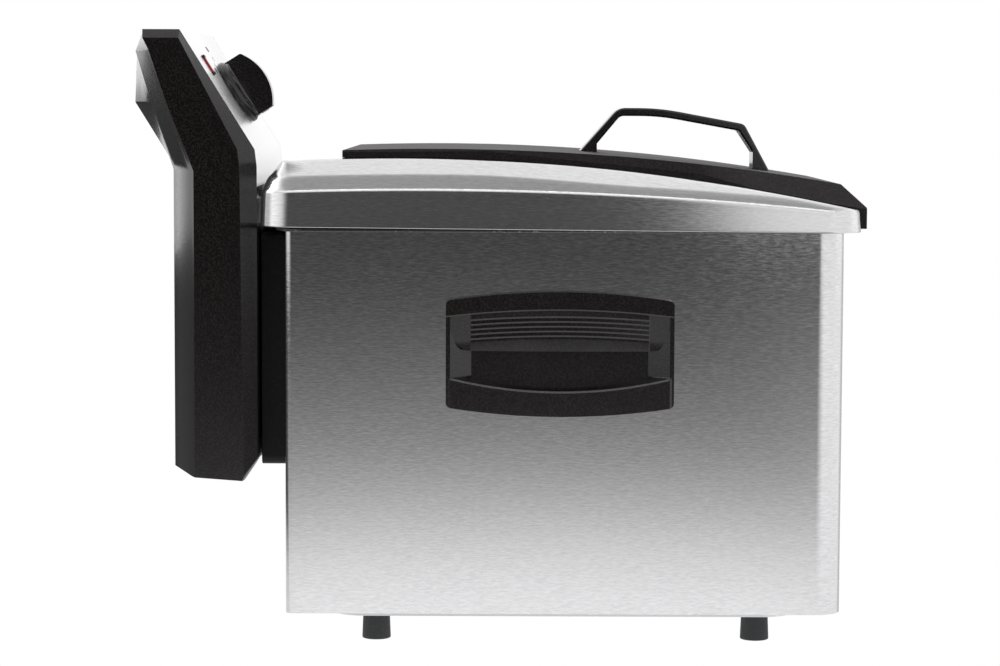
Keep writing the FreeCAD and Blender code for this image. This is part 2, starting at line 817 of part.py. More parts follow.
def oil_bowl():
    body = new_body("oil_bowl")
    inside = " - bowl_wall"
    add(body, "XY", rectangle("bowl_length / 2", "bowl_width / 2", "bowl_corner"), "bowl_floor",
        RIM_TOP + " - bowl_floor")
    add(body, "XY", rectangle(HALF_LENGTH + " + rim_overhang", HALF_WIDTH + " + rim_overhang",
                              "casing_corner + rim_overhang"), RIM_BOTTOM, "rim_thickness")
    cut(body, "XY", rectangle("bowl_length / 2" + inside, "bowl_width / 2" + inside, "bowl_corner" + inside),
        "bowl_floor + bowl_wall", RIM_TOP + " - bowl_floor")
    soften(body, at_height("bowl_floor + bowl_wall"), "bowl_bend" + inside)
    soften(body, at_height("bowl_floor"), "bowl_bend")


def head_outline(front_back, top_drop, rear_depths, heel):
    """Side outline of the control head at one distance from its middle, from the top front down.

    front_back: how far its front edge stands back from the front face
    top_drop: how far its top is below the highest level
    rear_depths: depth behind the front face of the lower rear, the bulge, the shoulder and the top
    heel: rise of the lower rear edge
    """
    front = value(HEAD_FRONT)
    low = value("head_low")
    slope_top = value(slope_x("head_top"))
    lower, bulge, shoulder, top_rear = [front - depth for depth in rear_depths]
    return [
        (slope_top, value("head_top") - top_drop),
        (value(SLOPE_X) - front_back, value(SLOPE_Z)),
        (front - front_back, value("head_bend")),
        (front - front_back * 0.8, low + value("toe_height") - front_back),
        (front - value("toe_depth") - front_back * 0.1, low),
        (lower, low + heel),
        (lower, value("head_bend") - value("rear_bend_drop")),
        (bulge, value("bulge_height")),
        (shoulder, value("shoulder_height")),
        (top_rear, value("head_top") - top_drop),
    ]


def head_stations():
    """Side outlines of the control head from its near side to its middle."""
    half = value("head_width") / 2
    chamfer = value("front_chamfer_width")
    heel = value("heel_rise")
    top_rear = value("top_rear_depth")
    side = [value("side_%s_depth" % part) for part in ("low", "bulge", "shoulder", "top")]
    facet = [value("facet_%s_depth" % part) for part in ("low", "bulge", "shoulder")] + [top_rear]
    bulge = value("head_depth") + value("bulge_depth")
    middle = [value("head_depth"), bulge, bulge - value("bulge_fall"), top_rear]
    share = chamfer / (half - value("facet_half_width"))
    seam = [outer + (inner - outer) * share for outer, inner in zip(side, facet)]
    return [
        (half, head_outline(value("front_chamfer_depth"), value("side_top_drop"), side, heel / 2)),
        (half - chamfer, head_outline(0, 0, seam, heel / 2)),
        (value("facet_half_width"), head_outline(0, 0, facet, heel)),
        (value("bulge_half_width"), head_outline(0, 0, middle, heel)),
    ]


def head_form(depth):
    """The control head's outside, or with a depth the room inside its walls."""
    near = [(side, inset(points, depth) if depth else points) for side, points in head_stations()]
    near[0] = (near[0][0] - depth, near[0][1])
    wires = []
    for side, points in [(-s, p) for s, p in near] + [(s, p) for s, p in reversed(near)]:
        wires.append(polyline([Vector(across, side, up) for across, up in points]))
    return Part.makeLoft(wires, True, True)


WINDOW_HALF = "(head_width / 2 - front_chamfer_width - window_margin)"
PLATE_HALF = "(head_width / 2 - front_chamfer_width - slide_gap)"


def plate_outline():
    """Side outline of the steel face plate: front, slope and the fold over the top."""
    thick = value("plate_thickness")
    low = value("plate_low")
    front = value(HEAD_FRONT)
    top = value("head_top")
    high = value(slope_x("head_top"))
    fold = high - value("plate_fold")
    outer = [(high, top), (value(SLOPE_X), value(SLOPE_Z)), (front, value("head_bend")), (front, low)]
    inner = inset(outer + [(fold, low), (fold, top)], thick)[:3]
    return [(fold, top)] + outer + [(front - thick, low)] + inner[::-1] + [(fold, top - thick)]


def slope_frame(height, side="0"):
    """Place on the sloping face, with local Z square to it and local X down the slope."""
    return {"across": slope_x(height), "side": side, "up": height, "axis": Vector(0, 1, 0),
            "angle": "90 - slope_angle"}


def through_slope(shape, height, side="0"):
    """Move a shape drawn in a slope frame to its place on the head."""
    where = Vector(value(slope_x(height)), value(side), value(height))
    turn = Rotation(Vector(0, 1, 0), value("90 - slope_angle"))
    moved = shape.copy()
    moved.Placement = Placement(where, turn)
    return moved


def cover_screw_places():
    """Where the cover's screws stand: side and height, in the margin beside the window."""
    side = "(%s + cover_margin / 2)" % WINDOW_HALF
    return [(sign + side, height) for sign in ("", "-")
            for height in ("window_low + 3 * cover_margin", "window_high - 6 * cover_margin")]


def head_shell():
    wall = value("head_wall")
    front = value(HEAD_FRONT)
    hole = value("screw_shank") / 2 + value("screw_play")
    boss_low = value("head_low") - value("gland_boss_drop")
    boss_x = front - value("gland_back")
    boss = Part.makeCylinder(value("gland_boss") / 2, wall + value("heel_rise"),
                             Vector(boss_x, value("gland_side"), boss_low))
    shell = head_form(0).cut(head_form(wall)).fuse(boss)
    half = value(WINDOW_HALF)
    shell = shell.cut(block((front - 2 * wall, -half, value("window_low")),
                            (front + wall, half, value("window_high"))))
    slot = value("rail_width") / 2 + value("slide_gap")
    slot_back = value(BRACKET_REAR) - value("rail_depth") - value("slide_gap")
    shell = shell.cut(block((slot_back, -slot, boss_low - wall), (front + wall, slot, value("window_low"))))
    plate = value(PLATE_HALF) + value("press_gap")
    shell = shell.cut(prism(plate_outline(), 2 * plate, "XZ", -plate))
    spindle = Part.makeCylinder(value("spindle_width") / 2 + value("slide_gap"), 4 * wall, Vector(0, 0, -2 * wall))
    shell = shell.cut(through_slope(spindle, "knob_height"))
    lamp = block((-value("lamp_length") / 2 - 0.1, -value("lamp_width") / 2 - 0.1, -2 * wall),
                 (value("lamp_length") / 2 + 0.1, value("lamp_width") / 2 + 0.1, wall))
    shell = shell.cut(through_slope(lamp, "lamp_height", "-lamp_side"))
    rear = front - value("head_depth")
    reset = Part.makeCylinder(value("reset_width") / 2 + value("slide_gap"), 4 * wall,
                              Vector(rear - 2 * wall, 0, value("reset_height")), Vector(1, 0, 0))
    shell = shell.cut(reset)
    gland = Part.makeCylinder(value("gland_neck") / 2 + value("press_gap"), 8 * wall,
                              Vector(boss_x, value("gland_side"), boss_low - wall))
    shell = shell.cut(gland)
    for side, height in cover_screw_places():
        shell = shell.cut(Part.makeCylinder(hole, value("cover_screw_length"), Vector(
            value(COVER_INSIDE), value(side), value(height)), Vector(1, 0, 0)))
    new_solid("head_shell", shell)


def head_front_cover():
    body = new_body("head_front_cover")
    half = "(%s + cover_margin)" % WINDOW_HALF
    add(body, "YZ", box_corners("-" + half, half, "window_low - cover_margin", "window_high + cover_margin"),
        COVER_INSIDE, "head_wall")
    channel = "(rail_width / 2 + slide_gap)"
    channel_rear = "(%s - rail_depth - slide_gap)" % BRACKET_REAR
    outer = "(rail_width / 2 + slide_gap + channel_wall)"
    add(body, "YZ", box_corners("-" + outer, outer, "window_low - cover_margin", CHANNEL_TOP + " + channel_wall"),
        HEAD_INSIDE, "%s - %s + channel_wall" % (HEAD_INSIDE, channel_rear), -1)
    cut(body, "YZ", box_corners("-" + channel, channel, "window_low - 2 * cover_margin", CHANNEL_TOP),
        HEAD_INSIDE, "%s - %s" % (HEAD_INSIDE, channel_rear), -1)
    bridge = "(bridge_width / 2 + slide_gap)"
    cut(body, "YZ", box_corners("-" + bridge, bridge, BRIDGE_LOW + " - slide_gap", BRIDGE_TOP + " + slide_gap"),
        HEAD_INSIDE, "head_wall", -1)
    holes = [(y, z, SCREW_HOLE) for y, z in cover_screw_places()]
    cut(body, "YZ", ["circles"] + holes, HEAD_INSIDE, "head_wall", -1)
    inside = value(COVER_INSIDE)
    seats = [(Vector(inside, value(y), value(z)), Vector(1, 0, 0)) for y, z in cover_screw_places()]
    screws("head_cover_screws", seats, "cover_screw_length")


def face_plate():
    half = value(PLATE_HALF)
    plate = prism(plate_outline(), 2 * half, "XZ", -half)
    thick = value("plate_thickness")
    spindle = Part.makeCylinder(value("spindle_width") / 2 + value("slide_gap"), 4 * thick, Vector(0, 0, -2 * thick))
    plate = plate.cut(through_slope(spindle, "knob_height"))
    lamp = block((-value("lamp_length") / 2 - 0.1, -value("lamp_width") / 2 - 0.1, -2 * thick),
                 (value("lamp_length") / 2 + 0.1, value("lamp_width") / 2 + 0.1, thick))
    plate = plate.cut(through_slope(lamp, "lamp_height", "-lamp_side"))
    new_solid("face_plate", plate)


def controls():
    """Thermostat, its knob and spindle, and the indicator, drawn square to the sloping face."""
    bore = "spindle_width / 2 + press_gap"
    body = new_body("thermostat", **slope_frame("knob_height"))
    add(body, "XY", rectangle("thermostat_size / 2", "thermostat_size / 2", "spindle_width / 2"),
        "-head_wall", "thermostat_depth", -1)

    body = new_body("thermostat_spindle", **slope_frame("knob_height"))
    add(body, "XY", ["circles", ("0", "0", "spindle_width")], "-head_wall + press_gap",
        "head_wall - 2 * press_gap + spindle_reach")

    body = new_body("knob_skirt", **slope_frame("knob_height"))
    skirt = "knob_skirt_width / 2"
    turned(body, [(bore, "knob_float"), (skirt, "knob_float"), (skirt, "knob_skirt_height * 0.6"),
                  ("knob_cap_width / 2", "knob_skirt_height"), (bore, "knob_skirt_height")])

    body = new_body("knob_cap", **slope_frame("knob_height"))
    cap = "knob_cap_width / 2"
    turned(body, [("0", "knob_skirt_height"), (cap, "knob_skirt_height"), (cap, "knob_bar_root", "1.6"),
                  ("0", "knob_bar_root + 2")])
    end = "(knob_cap_width / 2 - 0.4)"
    arch = [("-" + end, "knob_bar_root - 2"), (end, "knob_bar_root - 2"), (end, "knob_rim_height", "1.5"),
            ("0", "2 * knob_crown_height - knob_rim_height", "knob_cap_width * 0.8"),
            ("-" + end, "knob_rim_height", "1.5")]
    add(body, "XZ", arch, "0", "knob_bar_width", 0)
    cut(body, "XY", ["circles", ("0", "0", "2 * (%s)" % bore)], "knob_skirt_height",
        "spindle_reach - knob_skirt_height")

    body = new_body("indicator_lens", **slope_frame("lamp_height", "-lamp_side"))
    add(body, "XY", rectangle("lamp_length / 2 + lamp_flange", "lamp_width / 2 + lamp_flange"), "-head_wall",
        "lamp_flange", -1)
    add(body, "XY", rectangle("lamp_length / 2", "lamp_width / 2", "lamp_width / 2 - 0.3"), "-head_wall - lamp_flange",
        "head_wall + lamp_flange + lamp_proud")
    soften(body, at_height("lamp_proud"), "lamp_proud / 2")

    body = new_body("indicator_lamp", **slope_frame("lamp_height", "-lamp_side"))
    add(body, "XY", ["circles", ("0", "0", "lamp_bulb_width")], "-head_wall - lamp_flange", "lamp_bulb_length", -1)


def switch_gear():
    """Parts fixed inside the control head."""
    rear = "(%s - head_depth)" % HEAD_FRONT
    along = {"across": rear, "up": "reset_height", "axis": Vector(0, 1, 0), "angle": "90"}
    stem = "reset_width / 2 - reset_travel"
    body = new_body("reset_button", **along)
    cap = "reset_width / 2"
    turned(body, [("0", "-reset_proud"), (cap, "-reset_proud", "0.8"), (cap, "head_wall / 2"), (stem, "head_wall / 2"),
                  (stem, "head_wall + cutout_length / 2"), ("0", "head_wall + cutout_length / 2")])
    body = new_body("thermal_cutout", **along)
    outer = "cutout_width / 2"
    room = "reset_width / 2 + slide_gap"
    guide = stem + " + slide_gap"
    deep = "head_wall + cutout_length / 2 + 2 * reset_travel"
    step = "head_wall + 1.5 * reset_travel"
    turned(body, [("0", deep), ("0", "head_wall + cutout_length"), (outer, "head_wall + cutout_length"),
                  (outer, "head_wall"), (room, "head_wall"), (room, step), (guide, step), (guide, deep)])

    body = new_body("interlock_switch")
    add(body, "YZ", box_corners("switch_side - switch_length / 2", "switch_side + switch_length / 2",
                                "casing_top - switch_drop - switch_width / 2",
                                "casing_top - switch_drop + switch_width / 2"), COVER_INSIDE, "switch_depth", -1)
    body = new_body("terminal_block")
    add(body, "YZ", box_corners("-block_side - block_length / 2", "-block_side + block_length / 2",
                                "casing_top - block_drop - block_height / 2",
                                "casing_top - block_drop + block_height / 2"), COVER_INSIDE, "block_depth", -1)

    low = "(head_low - gland_boss_drop)"
    body = new_body("cord_gland", across="%s - gland_back" % HEAD_FRONT, side="gland_side", up=low)
    bore = "gland_bore / 2"
    turned(body, [(bore, "-gland_flange_height - gland_reach"),
                  ("gland_nose / 2", "-gland_flange_height - gland_reach"),
                  ("gland_nose / 2", "-gland_flange_height"), ("gland_flange / 2", "-gland_flange_height"),
                  ("gland_flange / 2", "0"), ("gland_neck / 2", "0"), ("gland_neck / 2", "gland_inside"),
                  (bore, "gland_inside")])


def element_bridge():
    body = new_body("element_bridge")
    half = "bridge_width / 2"
    inner = "(bridge_width / 2 - bridge_wall)"
    shield = SHIELD_X + " + bridge_wall"
    add(body, "XY", box_corners(COVER_INSIDE, shield, "-" + half, half), BRIDGE_LOW, "bridge_height")
    cut(body, "XY", box_corners(COVER_INSIDE, SHIELD_X, "-" + inner, inner), BRIDGE_TOP + " - bridge_wall",
        "bridge_height", -1)
    add(body, "YZ", box_corners("-" + half, half, "shield_low", BRIDGE_TOP), SHIELD_X, "bridge_wall")
    add(body, "YZ", box_corners("-" + half, half, BRIDGE_TOP + " - bridge_wall", BRIDGE_TOP + " + bridge_tab"),
        COVER_INSIDE, "bridge_wall", -1)


def heating_element():
    side = value(LEG_SIDE)
    inner = value("tube_spacing / 2")
    leg = value(LEG_X)
    high = value(TUBE_HIGH)
    low = value("tube_low")
    reach = value("tube_reach")
    back = leg + value("tube_return")
    inside = value(COVER_INSIDE) - value("tube_inside")
    half = [Vector(inside, side, high), Vector(leg, side, high), Vector(leg, side, low), Vector(reach, side, low),
            Vector(reach, inner, low), Vector(back, inner, low)]
    other = [Vector(point.x, -point.y, point.z) for point in reversed(half)]
    points = half + other
    width = value("tube_width")
    new_solid("heating_element", tube(points, [value("tube_bend")] * len(points), width))
    pins = []
    for sign in (-1, 1):
        pins.append(Part.makeCylinder(value("pin_width") / 2, value("pin_length"),
                                      Vector(inside, sign * side, high), Vector(-1, 0, 0)))
    new_solid("element_terminals", Part.makeCompound(pins))


def sensing_bulbs():
    width = value("bulb_width")
    across = value(SHIELD_X) - width / 2
    low = value("bulb_low")
    top = low + value("bulb_length")
    run = value(BRIDGE_TOP) - 2 * width
    side = value("bulb_side")
    bend = value("capillary_bend")
    line = value("capillary_width")
    angle = math.radians(value("slope_angle"))
    # The thermostat's line rises to the lower side of the thermostat body.
    deep = value("head_wall + thermostat_depth / 2")
    half = value("thermostat_size / 2")
    end = Vector(value(slope_x("knob_height")) - math.cos(angle) * deep + math.sin(angle) * half, -side,
                 value("knob_height") - math.sin(angle) * deep - math.cos(angle) * half)
    end_side = -half + line
    bulb = Part.makeCylinder(width / 2, top - low, Vector(across, -side, low))
    points = [Vector(across, -side, top - line), Vector(across, -side, run), Vector(end.x, -side, run),
              Vector(end.x, -side, end.z - 4 * bend), Vector(end.x, end_side, end.z - 4 * bend),
              Vector(end.x, end_side, end.z - line)]
    new_solid("thermostat_bulb", bulb.fuse(tube(points, [bend] * len(points), line)).removeSplitter())
    # The cut-out's line falls to the side of the cut-out body.
    middle = value(HEAD_FRONT) - value("head_depth") + value("head_wall + cutout_length / 2")
    bulb = Part.makeCylinder(width / 2, top - low, Vector(across, side, low))
    points = [Vector(across, side, top - line), Vector(across, side, run), Vector(middle, side, run),
              Vector(middle, side, value("reset_height")),
              Vector(middle, value("cutout_width / 2") + value("press_gap"), value("reset_height"))]
    new_solid("cutout_bulb", bulb.fuse(tube(points, [bend] * len(points), line)).removeSplitter())
    clips = []
    radius = width / 2 + value("press_gap")
    height = value("clip_height")
    for sign in (-1, 1):
        for level in (low + height, top - 2 * height):
            half_width = value("clip_width") / 2
            clip = block((across - radius - value("bridge_wall"), sign * side - half_width, level),
                         (value(SHIELD_X), sign * side + half_width, level + height))
            room = Part.makeCylinder(radius, height, Vector(across, sign * side, level))
            throat = block((across, sign * side - radius, level), (value(SHIELD_X), sign * side + radius, level + height))
            clips.append(clip.cut(room).cut(throat))
    new_solid("bulb_clips", Part.makeCompound(clips))


def basket():
    body = new_body("frying_basket")
    corner = "basket_corner"
    add(body, "XY", box_corners(BASKET_REAR, BASKET_FRONT, "-" + BASKET_SIDE, BASKET_SIDE, corner), BASKET_LOW,
        "basket_height")
    cut(body, "XY", box_corners(BASKET_REAR + " + basket_wall", BASKET_FRONT + " - basket_wall",
                                "-%s + basket_wall" % BASKET_SIDE, BASKET_SIDE + " - basket_wall",
                                corner + " - basket_wall"),
        BASKET_LOW + " + basket_wall", "basket_height")

    wire = value("rim_wire")
    out = wire / 2
    height = value(BASKET_TOP) - out
    rear = value(BASKET_REAR) - out
    front = value(BASKET_FRONT) + out
    side = value(BASKET_SIDE) + out
    points = [Vector(0, -side, height), Vector(front, -side, height), Vector(front, side, height),
              Vector(rear, side, height), Vector(rear, -side, height)]
    radii = [0] + [value("basket_corner") + out] * 4
    path = bent_wire(points, radii, True)
    ring = Part.Wire(Part.makeCircle(out, points[0], Vector(1, 0, 0)))
    new_solid("basket_rim", path.makePipeShell([ring], True, True))

    bars = []
    thick = value("basket_wire")
    level = value(BASKET_LOW) - thick / 2
    long = value(BASKET_SIDE) - value("basket_corner")
    for across in (-value("support_inset"), value("support_inset")):
        bars.append(Part.makeCylinder(thick / 2, 2 * long, Vector(across, -long, level), Vector(0, 1, 0)))
    new_solid("basket_supports", Part.makeCompound(bars))

    body = new_body("basket_handle_socket")
    half = "socket_width / 2"
    high = BASKET_TOP + " - rim_wire - basket_wire"
    add(body, "YZ", box_corners("-" + half, half, high + " - socket_height", high, "socket_depth / 2"), BASKET_FRONT,
        "socket_depth")
    bores = [("%s + socket_depth / 2" % BASKET_FRONT, sign + "socket_spread / 2", "socket_bore - 2")
             for sign in ("", "-")]
    cut(body, "XY", ["circles"] + bores, high, "socket_height / 2", -1)


def lid_form(depth, bottom):
    """The lid's outside above a level, or with a depth the same moved inwards."""
    rear = value(LID_REAR) + depth
    front = value(LID_FRONT) - depth
    side = value(LID_SIDE)
    skirt = value(SKIRT_TOP)
    far = 200
    corner = value("lid_corner") - depth
    plan = [Vector(rear, depth - side, bottom), Vector(front, depth - side, bottom),
            Vector(front, side - depth, bottom), Vector(rear, side - depth, bottom)]
    plan = Part.Face(bent_wire(plan, [corner] * 4, True)).extrude(Vector(0, 0, far))

    lean = value("shoulder_inset")
    rise = value("crest_rise")
    share = value("crease_inset") / lean
    lift = value("crease_lift") / math.hypot(lean, rise)
    crease = (lean * share - rise * lift, rise * share + lean * lift)
    crown = (2 * lean - crease[0], 2 * rise - crease[1])
    half = [(side - back, skirt + up) for back, up in ((0, 0), crease, crown)]
    section = [(-side, bottom - far / 4), (side, bottom - far / 4)] + half + [(-x, z) for x, z in half[::-1]]
    section = inset(section, depth) if depth else section
    peak = value("skirt_peak")
    points = [Vector(peak, across, up) for across, up in section]
    bend = value("skirt_bend") - depth if value("skirt_bend") > 2 * depth else 0
    face = Part.Face(bent_wire(points, [0, 0, bend, 0, 0, 0, 0, bend], True))
    radius = value("skirt_arc")
    centre = Vector(peak, 0, skirt - radius)
    start = math.degrees(math.asin((peak - rear + lean) / radius))
    sweep = start + math.degrees(math.asin((front - peak + lean) / radius))
    face.rotate(centre, Vector(0, 1, 0), -start)
    bowed_form = face.revolve(centre, Vector(0, 1, 0), sweep)

    def crest(across):
        radius = value("crest_arc") - depth
        return value(CREST) - value("crest_arc") + math.sqrt(radius ** 2 - (across - value("crest_peak")) ** 2)

    shoulder = value("rear_shoulder")
    drop = value("rear_shoulder_drop")
    nose = value("front_shoulder")
    near_rear = rear + shoulder
    near_front = front - nose
    rear_low = crest(near_rear) - drop
    front_low = crest(near_front) - nose * 1.4
    bulge = 0.3
    rear_arc = Part.Arc(
        Vector(rear, 0, rear_low),
        Vector(rear + shoulder * bulge, 0, rear_low + drop * (1 - bulge)),
        Vector(near_rear, 0, crest(near_rear)))
    middle = (near_rear + near_front) / 2
    top_arc = Part.Arc(Vector(near_rear, 0, crest(near_rear)), Vector(middle, 0, crest(middle)),
                       Vector(near_front, 0, crest(near_front)))
    front_arc = Part.Arc(
        Vector(near_front, 0, crest(near_front)),
        Vector(front - nose * bulge, 0, front_low + (crest(near_front) - front_low) * (1 - bulge)),
        Vector(front, 0, front_low))
    edges = [Part.makeLine(Vector(rear, 0, bottom), Vector(rear, 0, rear_low)), rear_arc.toShape(),
             top_arc.toShape(), front_arc.toShape(),
             Part.makeLine(Vector(front, 0, front_low), Vector(front, 0, bottom)),
             Part.makeLine(Vector(front, 0, bottom), Vector(rear, 0, bottom))]
    outline = Part.Face(Part.Wire(edges))
    outline.translate(Vector(0, -far, 0))
    side_form = outline.extrude(Vector(0, 2 * far, 0))
    return plan.common(bowed_form).common(side_form)


def lid_screw_places():
    """Where the lid's screws stand: under the two feet of its handle."""
    return [(across, sign + "strap_width / 4") for across in ("strap_rear + 0.64 * strap_foot",
                                                              "strap_front - 0.5 * strap_foot")
            for sign in ("", "-")]


def lid_shell():
    wall = value("lid_wall")
    bottom = value(LID_BOTTOM)
    hem = value("lid_hem")
    shell = lid_form(0, bottom).cut(lid_form(wall, bottom + wall))
    rear, front, side = value(LID_REAR), value(LID_FRONT), value(LID_SIDE)
    opening = [Vector(rear + hem, hem - side, bottom - wall), Vector(front - hem, hem - side, bottom - wall),
               Vector(front - hem, side - hem, bottom - wall), Vector(rear + hem, side - hem, bottom - wall)]
    opening = Part.Face(bent_wire(opening, [value("lid_corner")] * 4, True)).extrude(Vector(0, 0, 4 * wall))
    shell = shell.cut(opening)
    half = value("bridge_width / 2 + notch_play")
    shell = shell.cut(block((rear - wall, -half, bottom - wall),
                            (rear + hem + wall, half, value(BRIDGE_TOP) + value("notch_play"))))
    hole = value("screw_shank") / 2 + value("screw_play")
    for across, along in lid_screw_places():
        shell = shell.cut(Part.makeCylinder(hole, 4 * hem, Vector(value(across), value(along), bottom)))
    new_solid("lid_shell", shell)


def trim_form(depth):
    """The trim over the lid's top and front edge, or with a depth the room under it."""
    gap = value("trim_gap")
    rear = value("trim_rear") + depth
    front = value(LID_FRONT)
    nose = value("nose_front") - depth
    hook_in = front + value("hook_gap")
    hook_out = hook_in + value("hook_thickness")
    low = -depth if depth else gap

    def crest(across):
        return value(crest_height("(%s)" % across)) + low

    def top(across):
        return value(trim_height("(%s)" % across)) - depth

    knee = top(nose) - value("nose_knee")
    middle = (rear + nose) / 2
    inner = front - value("front_shoulder")
    under = (rear + inner) / 2
    edges = [
        Part.makeLine(Vector(rear, 0, crest(rear)), Vector(rear, 0, top(rear))),
        Part.Arc(Vector(rear, 0, top(rear)), Vector(middle, 0, top(middle)), Vector(nose, 0, top(nose))).toShape(),
    ]
    if depth:
        edges.append(Part.makeLine(Vector(nose, 0, top(nose)), Vector(inner, 0, crest(inner))))
    else:
        bottom = value(LID_BOTTOM)
        corner = crest(inner)
        path = [Vector(nose, 0, top(nose)), Vector(hook_out, 0, knee), Vector(hook_out, 0, bottom),
                Vector(hook_in, 0, bottom), Vector(hook_in, 0, corner - value("front_shoulder")),
                Vector(inner + value("hook_gap"), 0, corner), Vector(inner, 0, corner)]
        edges += [Part.makeLine(start, end) for start, end in zip(path, path[1:])]
    edges.append(Part.Arc(Vector(inner, 0, crest(inner)), Vector(under, 0, crest(under)),
                          Vector(rear, 0, crest(rear))).toShape())
    outline = Part.Face(Part.Wire(edges))
    far = 200
    outline.translate(Vector(0, -far, 0))
    side_form = outline.extrude(Vector(0, 2 * far, 0))

    half = value("trim_half_width")
    floor = value(LID_BOTTOM) - 1
    edge = value("bevel_edge")
    bevels = [
        (value("trim_rear") - 1, edge, edge),
        (value("trim_bevel_start"), edge, edge),
        (value("trim_bevel_middle"), value("bevel_middle_drop"), value("bevel_middle_inset")),
        (value("trim_bevel_full"), value("bevel_full_drop"), value("bevel_full_inset")),
        (hook_out + 1, value("bevel_full_drop"), value("bevel_full_inset")),
    ]
    wires = []
    for across, drop, lean in bevels:
        high = value(trim_height("(%s)" % across))
        section = [(-half, floor), (half, floor), (half, high - drop), (half - 2 * lean, high + drop),
                   (-half + 2 * lean, high + drop), (-half, high - drop)]
        section = inset(section, depth) if depth else section
        wires.append(polyline([Vector(across, side, up) for side, up in section]))
    return side_form.common(Part.makeLoft(wires, True, True))


def lid_trim():
    trim = trim_form(0)
    rib = value("strap_width") / 2
    room = trim_form(value("trim_wall"))
    far = 300
    room = room.cut(block((-far, -rib, 0), (far, rib, 2 * far)))
    trim = trim.cut(room)
    hole = value("screw_shank") / 2 + value("screw_play")
    for across, along in lid_screw_places():
        drill = Part.makeCylinder(hole, value("strap_rise"), Vector(value(across), value(along), value(LID_BOTTOM)))
        trim = trim.cut(drill)
    new_solid("lid_trim", trim)


def lid_handle():
    body = new_body("lid_handle")
    thick = "strap_thickness"
    high = "(%s + strap_rise)" % LID_BOTTOM
    rear_top = "(strap_rear + strap_lean_rear)"
    front_top = "(strap_front - strap_lean_front)"
    rear_in = "(strap_rear + strap_foot)"
    front_in = "(strap_front - strap_foot)"
    crown = "strap_crown"

    def foot(across):
        return "%s + trim_gap" % trim_height(across)

    outline = [
        ("strap_rear", foot("strap_rear")),
        (rear_in, foot(rear_in)),
        (rear_in, foot(rear_in) + " + " + thick),
        (rear_top + " + 1.2", high + " - " + thick, thick),
        (crown + " + 10", high + " - " + thick, "strap_rise * 2"),
        (front_top + " - 3.4", high + " - strap_fall - %s + 0.8" % thick, "2.5"),
        (front_in, foot(front_in) + " + 2 * " + thick),
        (front_in, foot(front_in)),
        ("strap_front", foot("strap_front")),
        (front_top, high + " - strap_fall", thick),
        (crown + " + 10", high, "strap_rise * 2"),
        (rear_top, high, "2 * " + thick),
    ]
    add(body, "XZ", outline, "0", "strap_width", 0)
    half = value("strap_width / 2")
    low = value(trim_height("strap_front")) + 1

    def rim(edge):
        box = edge.BoundBox
        flat = abs(abs(box.YMin) - half) < 1e-4 and abs(box.YMax - box.YMin) < 1e-4
        return flat and box.ZMax > value(high) - 12 and box.ZMin > low + 14

    soften(body, rim, "1.2")
    holes = [(x, y, SCREW_HOLE) for x, y in lid_screw_places()]
    cut(body, "XY", ["circles"] + holes[:2], "%s - lid_wall + lid_screw_length"
        % crest_height("(%s)" % lid_screw_places()[0][0]), "lid_screw_length", -1)
    cut(body, "XY", ["circles"] + holes[2:], "%s - lid_wall + lid_screw_length"
        % crest_height("(%s)" % lid_screw_places()[2][0]), "lid_screw_length", -1)
    seats = []
    for across, along in lid_screw_places():
        # The heads bear on the low side of the sloping top.
        level = value(crest_height("%s + screw_head / 2" % across)) - value("lid_wall + press_gap")
        seats.append((Vector(value(across), value(along), level), Vector(0, 0, 1)))
    screws("lid_screws", seats, "lid_screw_length")


outer_casing()
base_plate()
feet()
side_handle("side_handle_right", "0")
side_handle("side_handle_left", "180")
handle_screws()
rear_bracket()
oil_bowl()
head_shell()
head_front_cover()
face_plate()
controls()
switch_gear()
element_bridge()
heating_element()
sensing_bulbs()
basket()
lid_shell()
lid_trim()
lid_handle()
doc.recompute()

for item in doc.Objects:
    if "Invalid" in item.State or "Error" in item.State:
        raise RuntimeError("%s did not compute: %s" % (item.Label, item.State))
os.makedirs("parts", exist_ok=True)
for piece in pieces:
    if piece.Shape.isNull() or not piece.Shape.isValid():
        raise RuntimeError("%s has no sound shape" % piece.Label)
    piece.Shape.exportStep("parts/%s.step" % piece.Label)
    box = piece.Shape.BoundBox
    print("%-22s %9.0f mm3  %d solids  x %.1f..%.1f y %.1f..%.1f z %.1f..%.1f" % (
        piece.Label, piece.Shape.Volume, len(piece.Shape.Solids),
        box.XMin, box.XMax, box.YMin, box.YMax, box.ZMin, box.ZMax))
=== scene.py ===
# %% [markdown]
# # Dressing a deep fryer
# The fryer is a steel box with a domed lid, a tall control head hooked over its rear wall and a
# carrying handle let into each side. Its solids come in as a fixed frame, so every piece here is
# already in its right place, in metres. We add what makes it look real: soft edges, woven wire,
# printed marks and finishes that show how each material was made.

# %% Load the frame
import json
import math
import bmesh
import bpy
from mathutils import Euler, Matrix, Vector

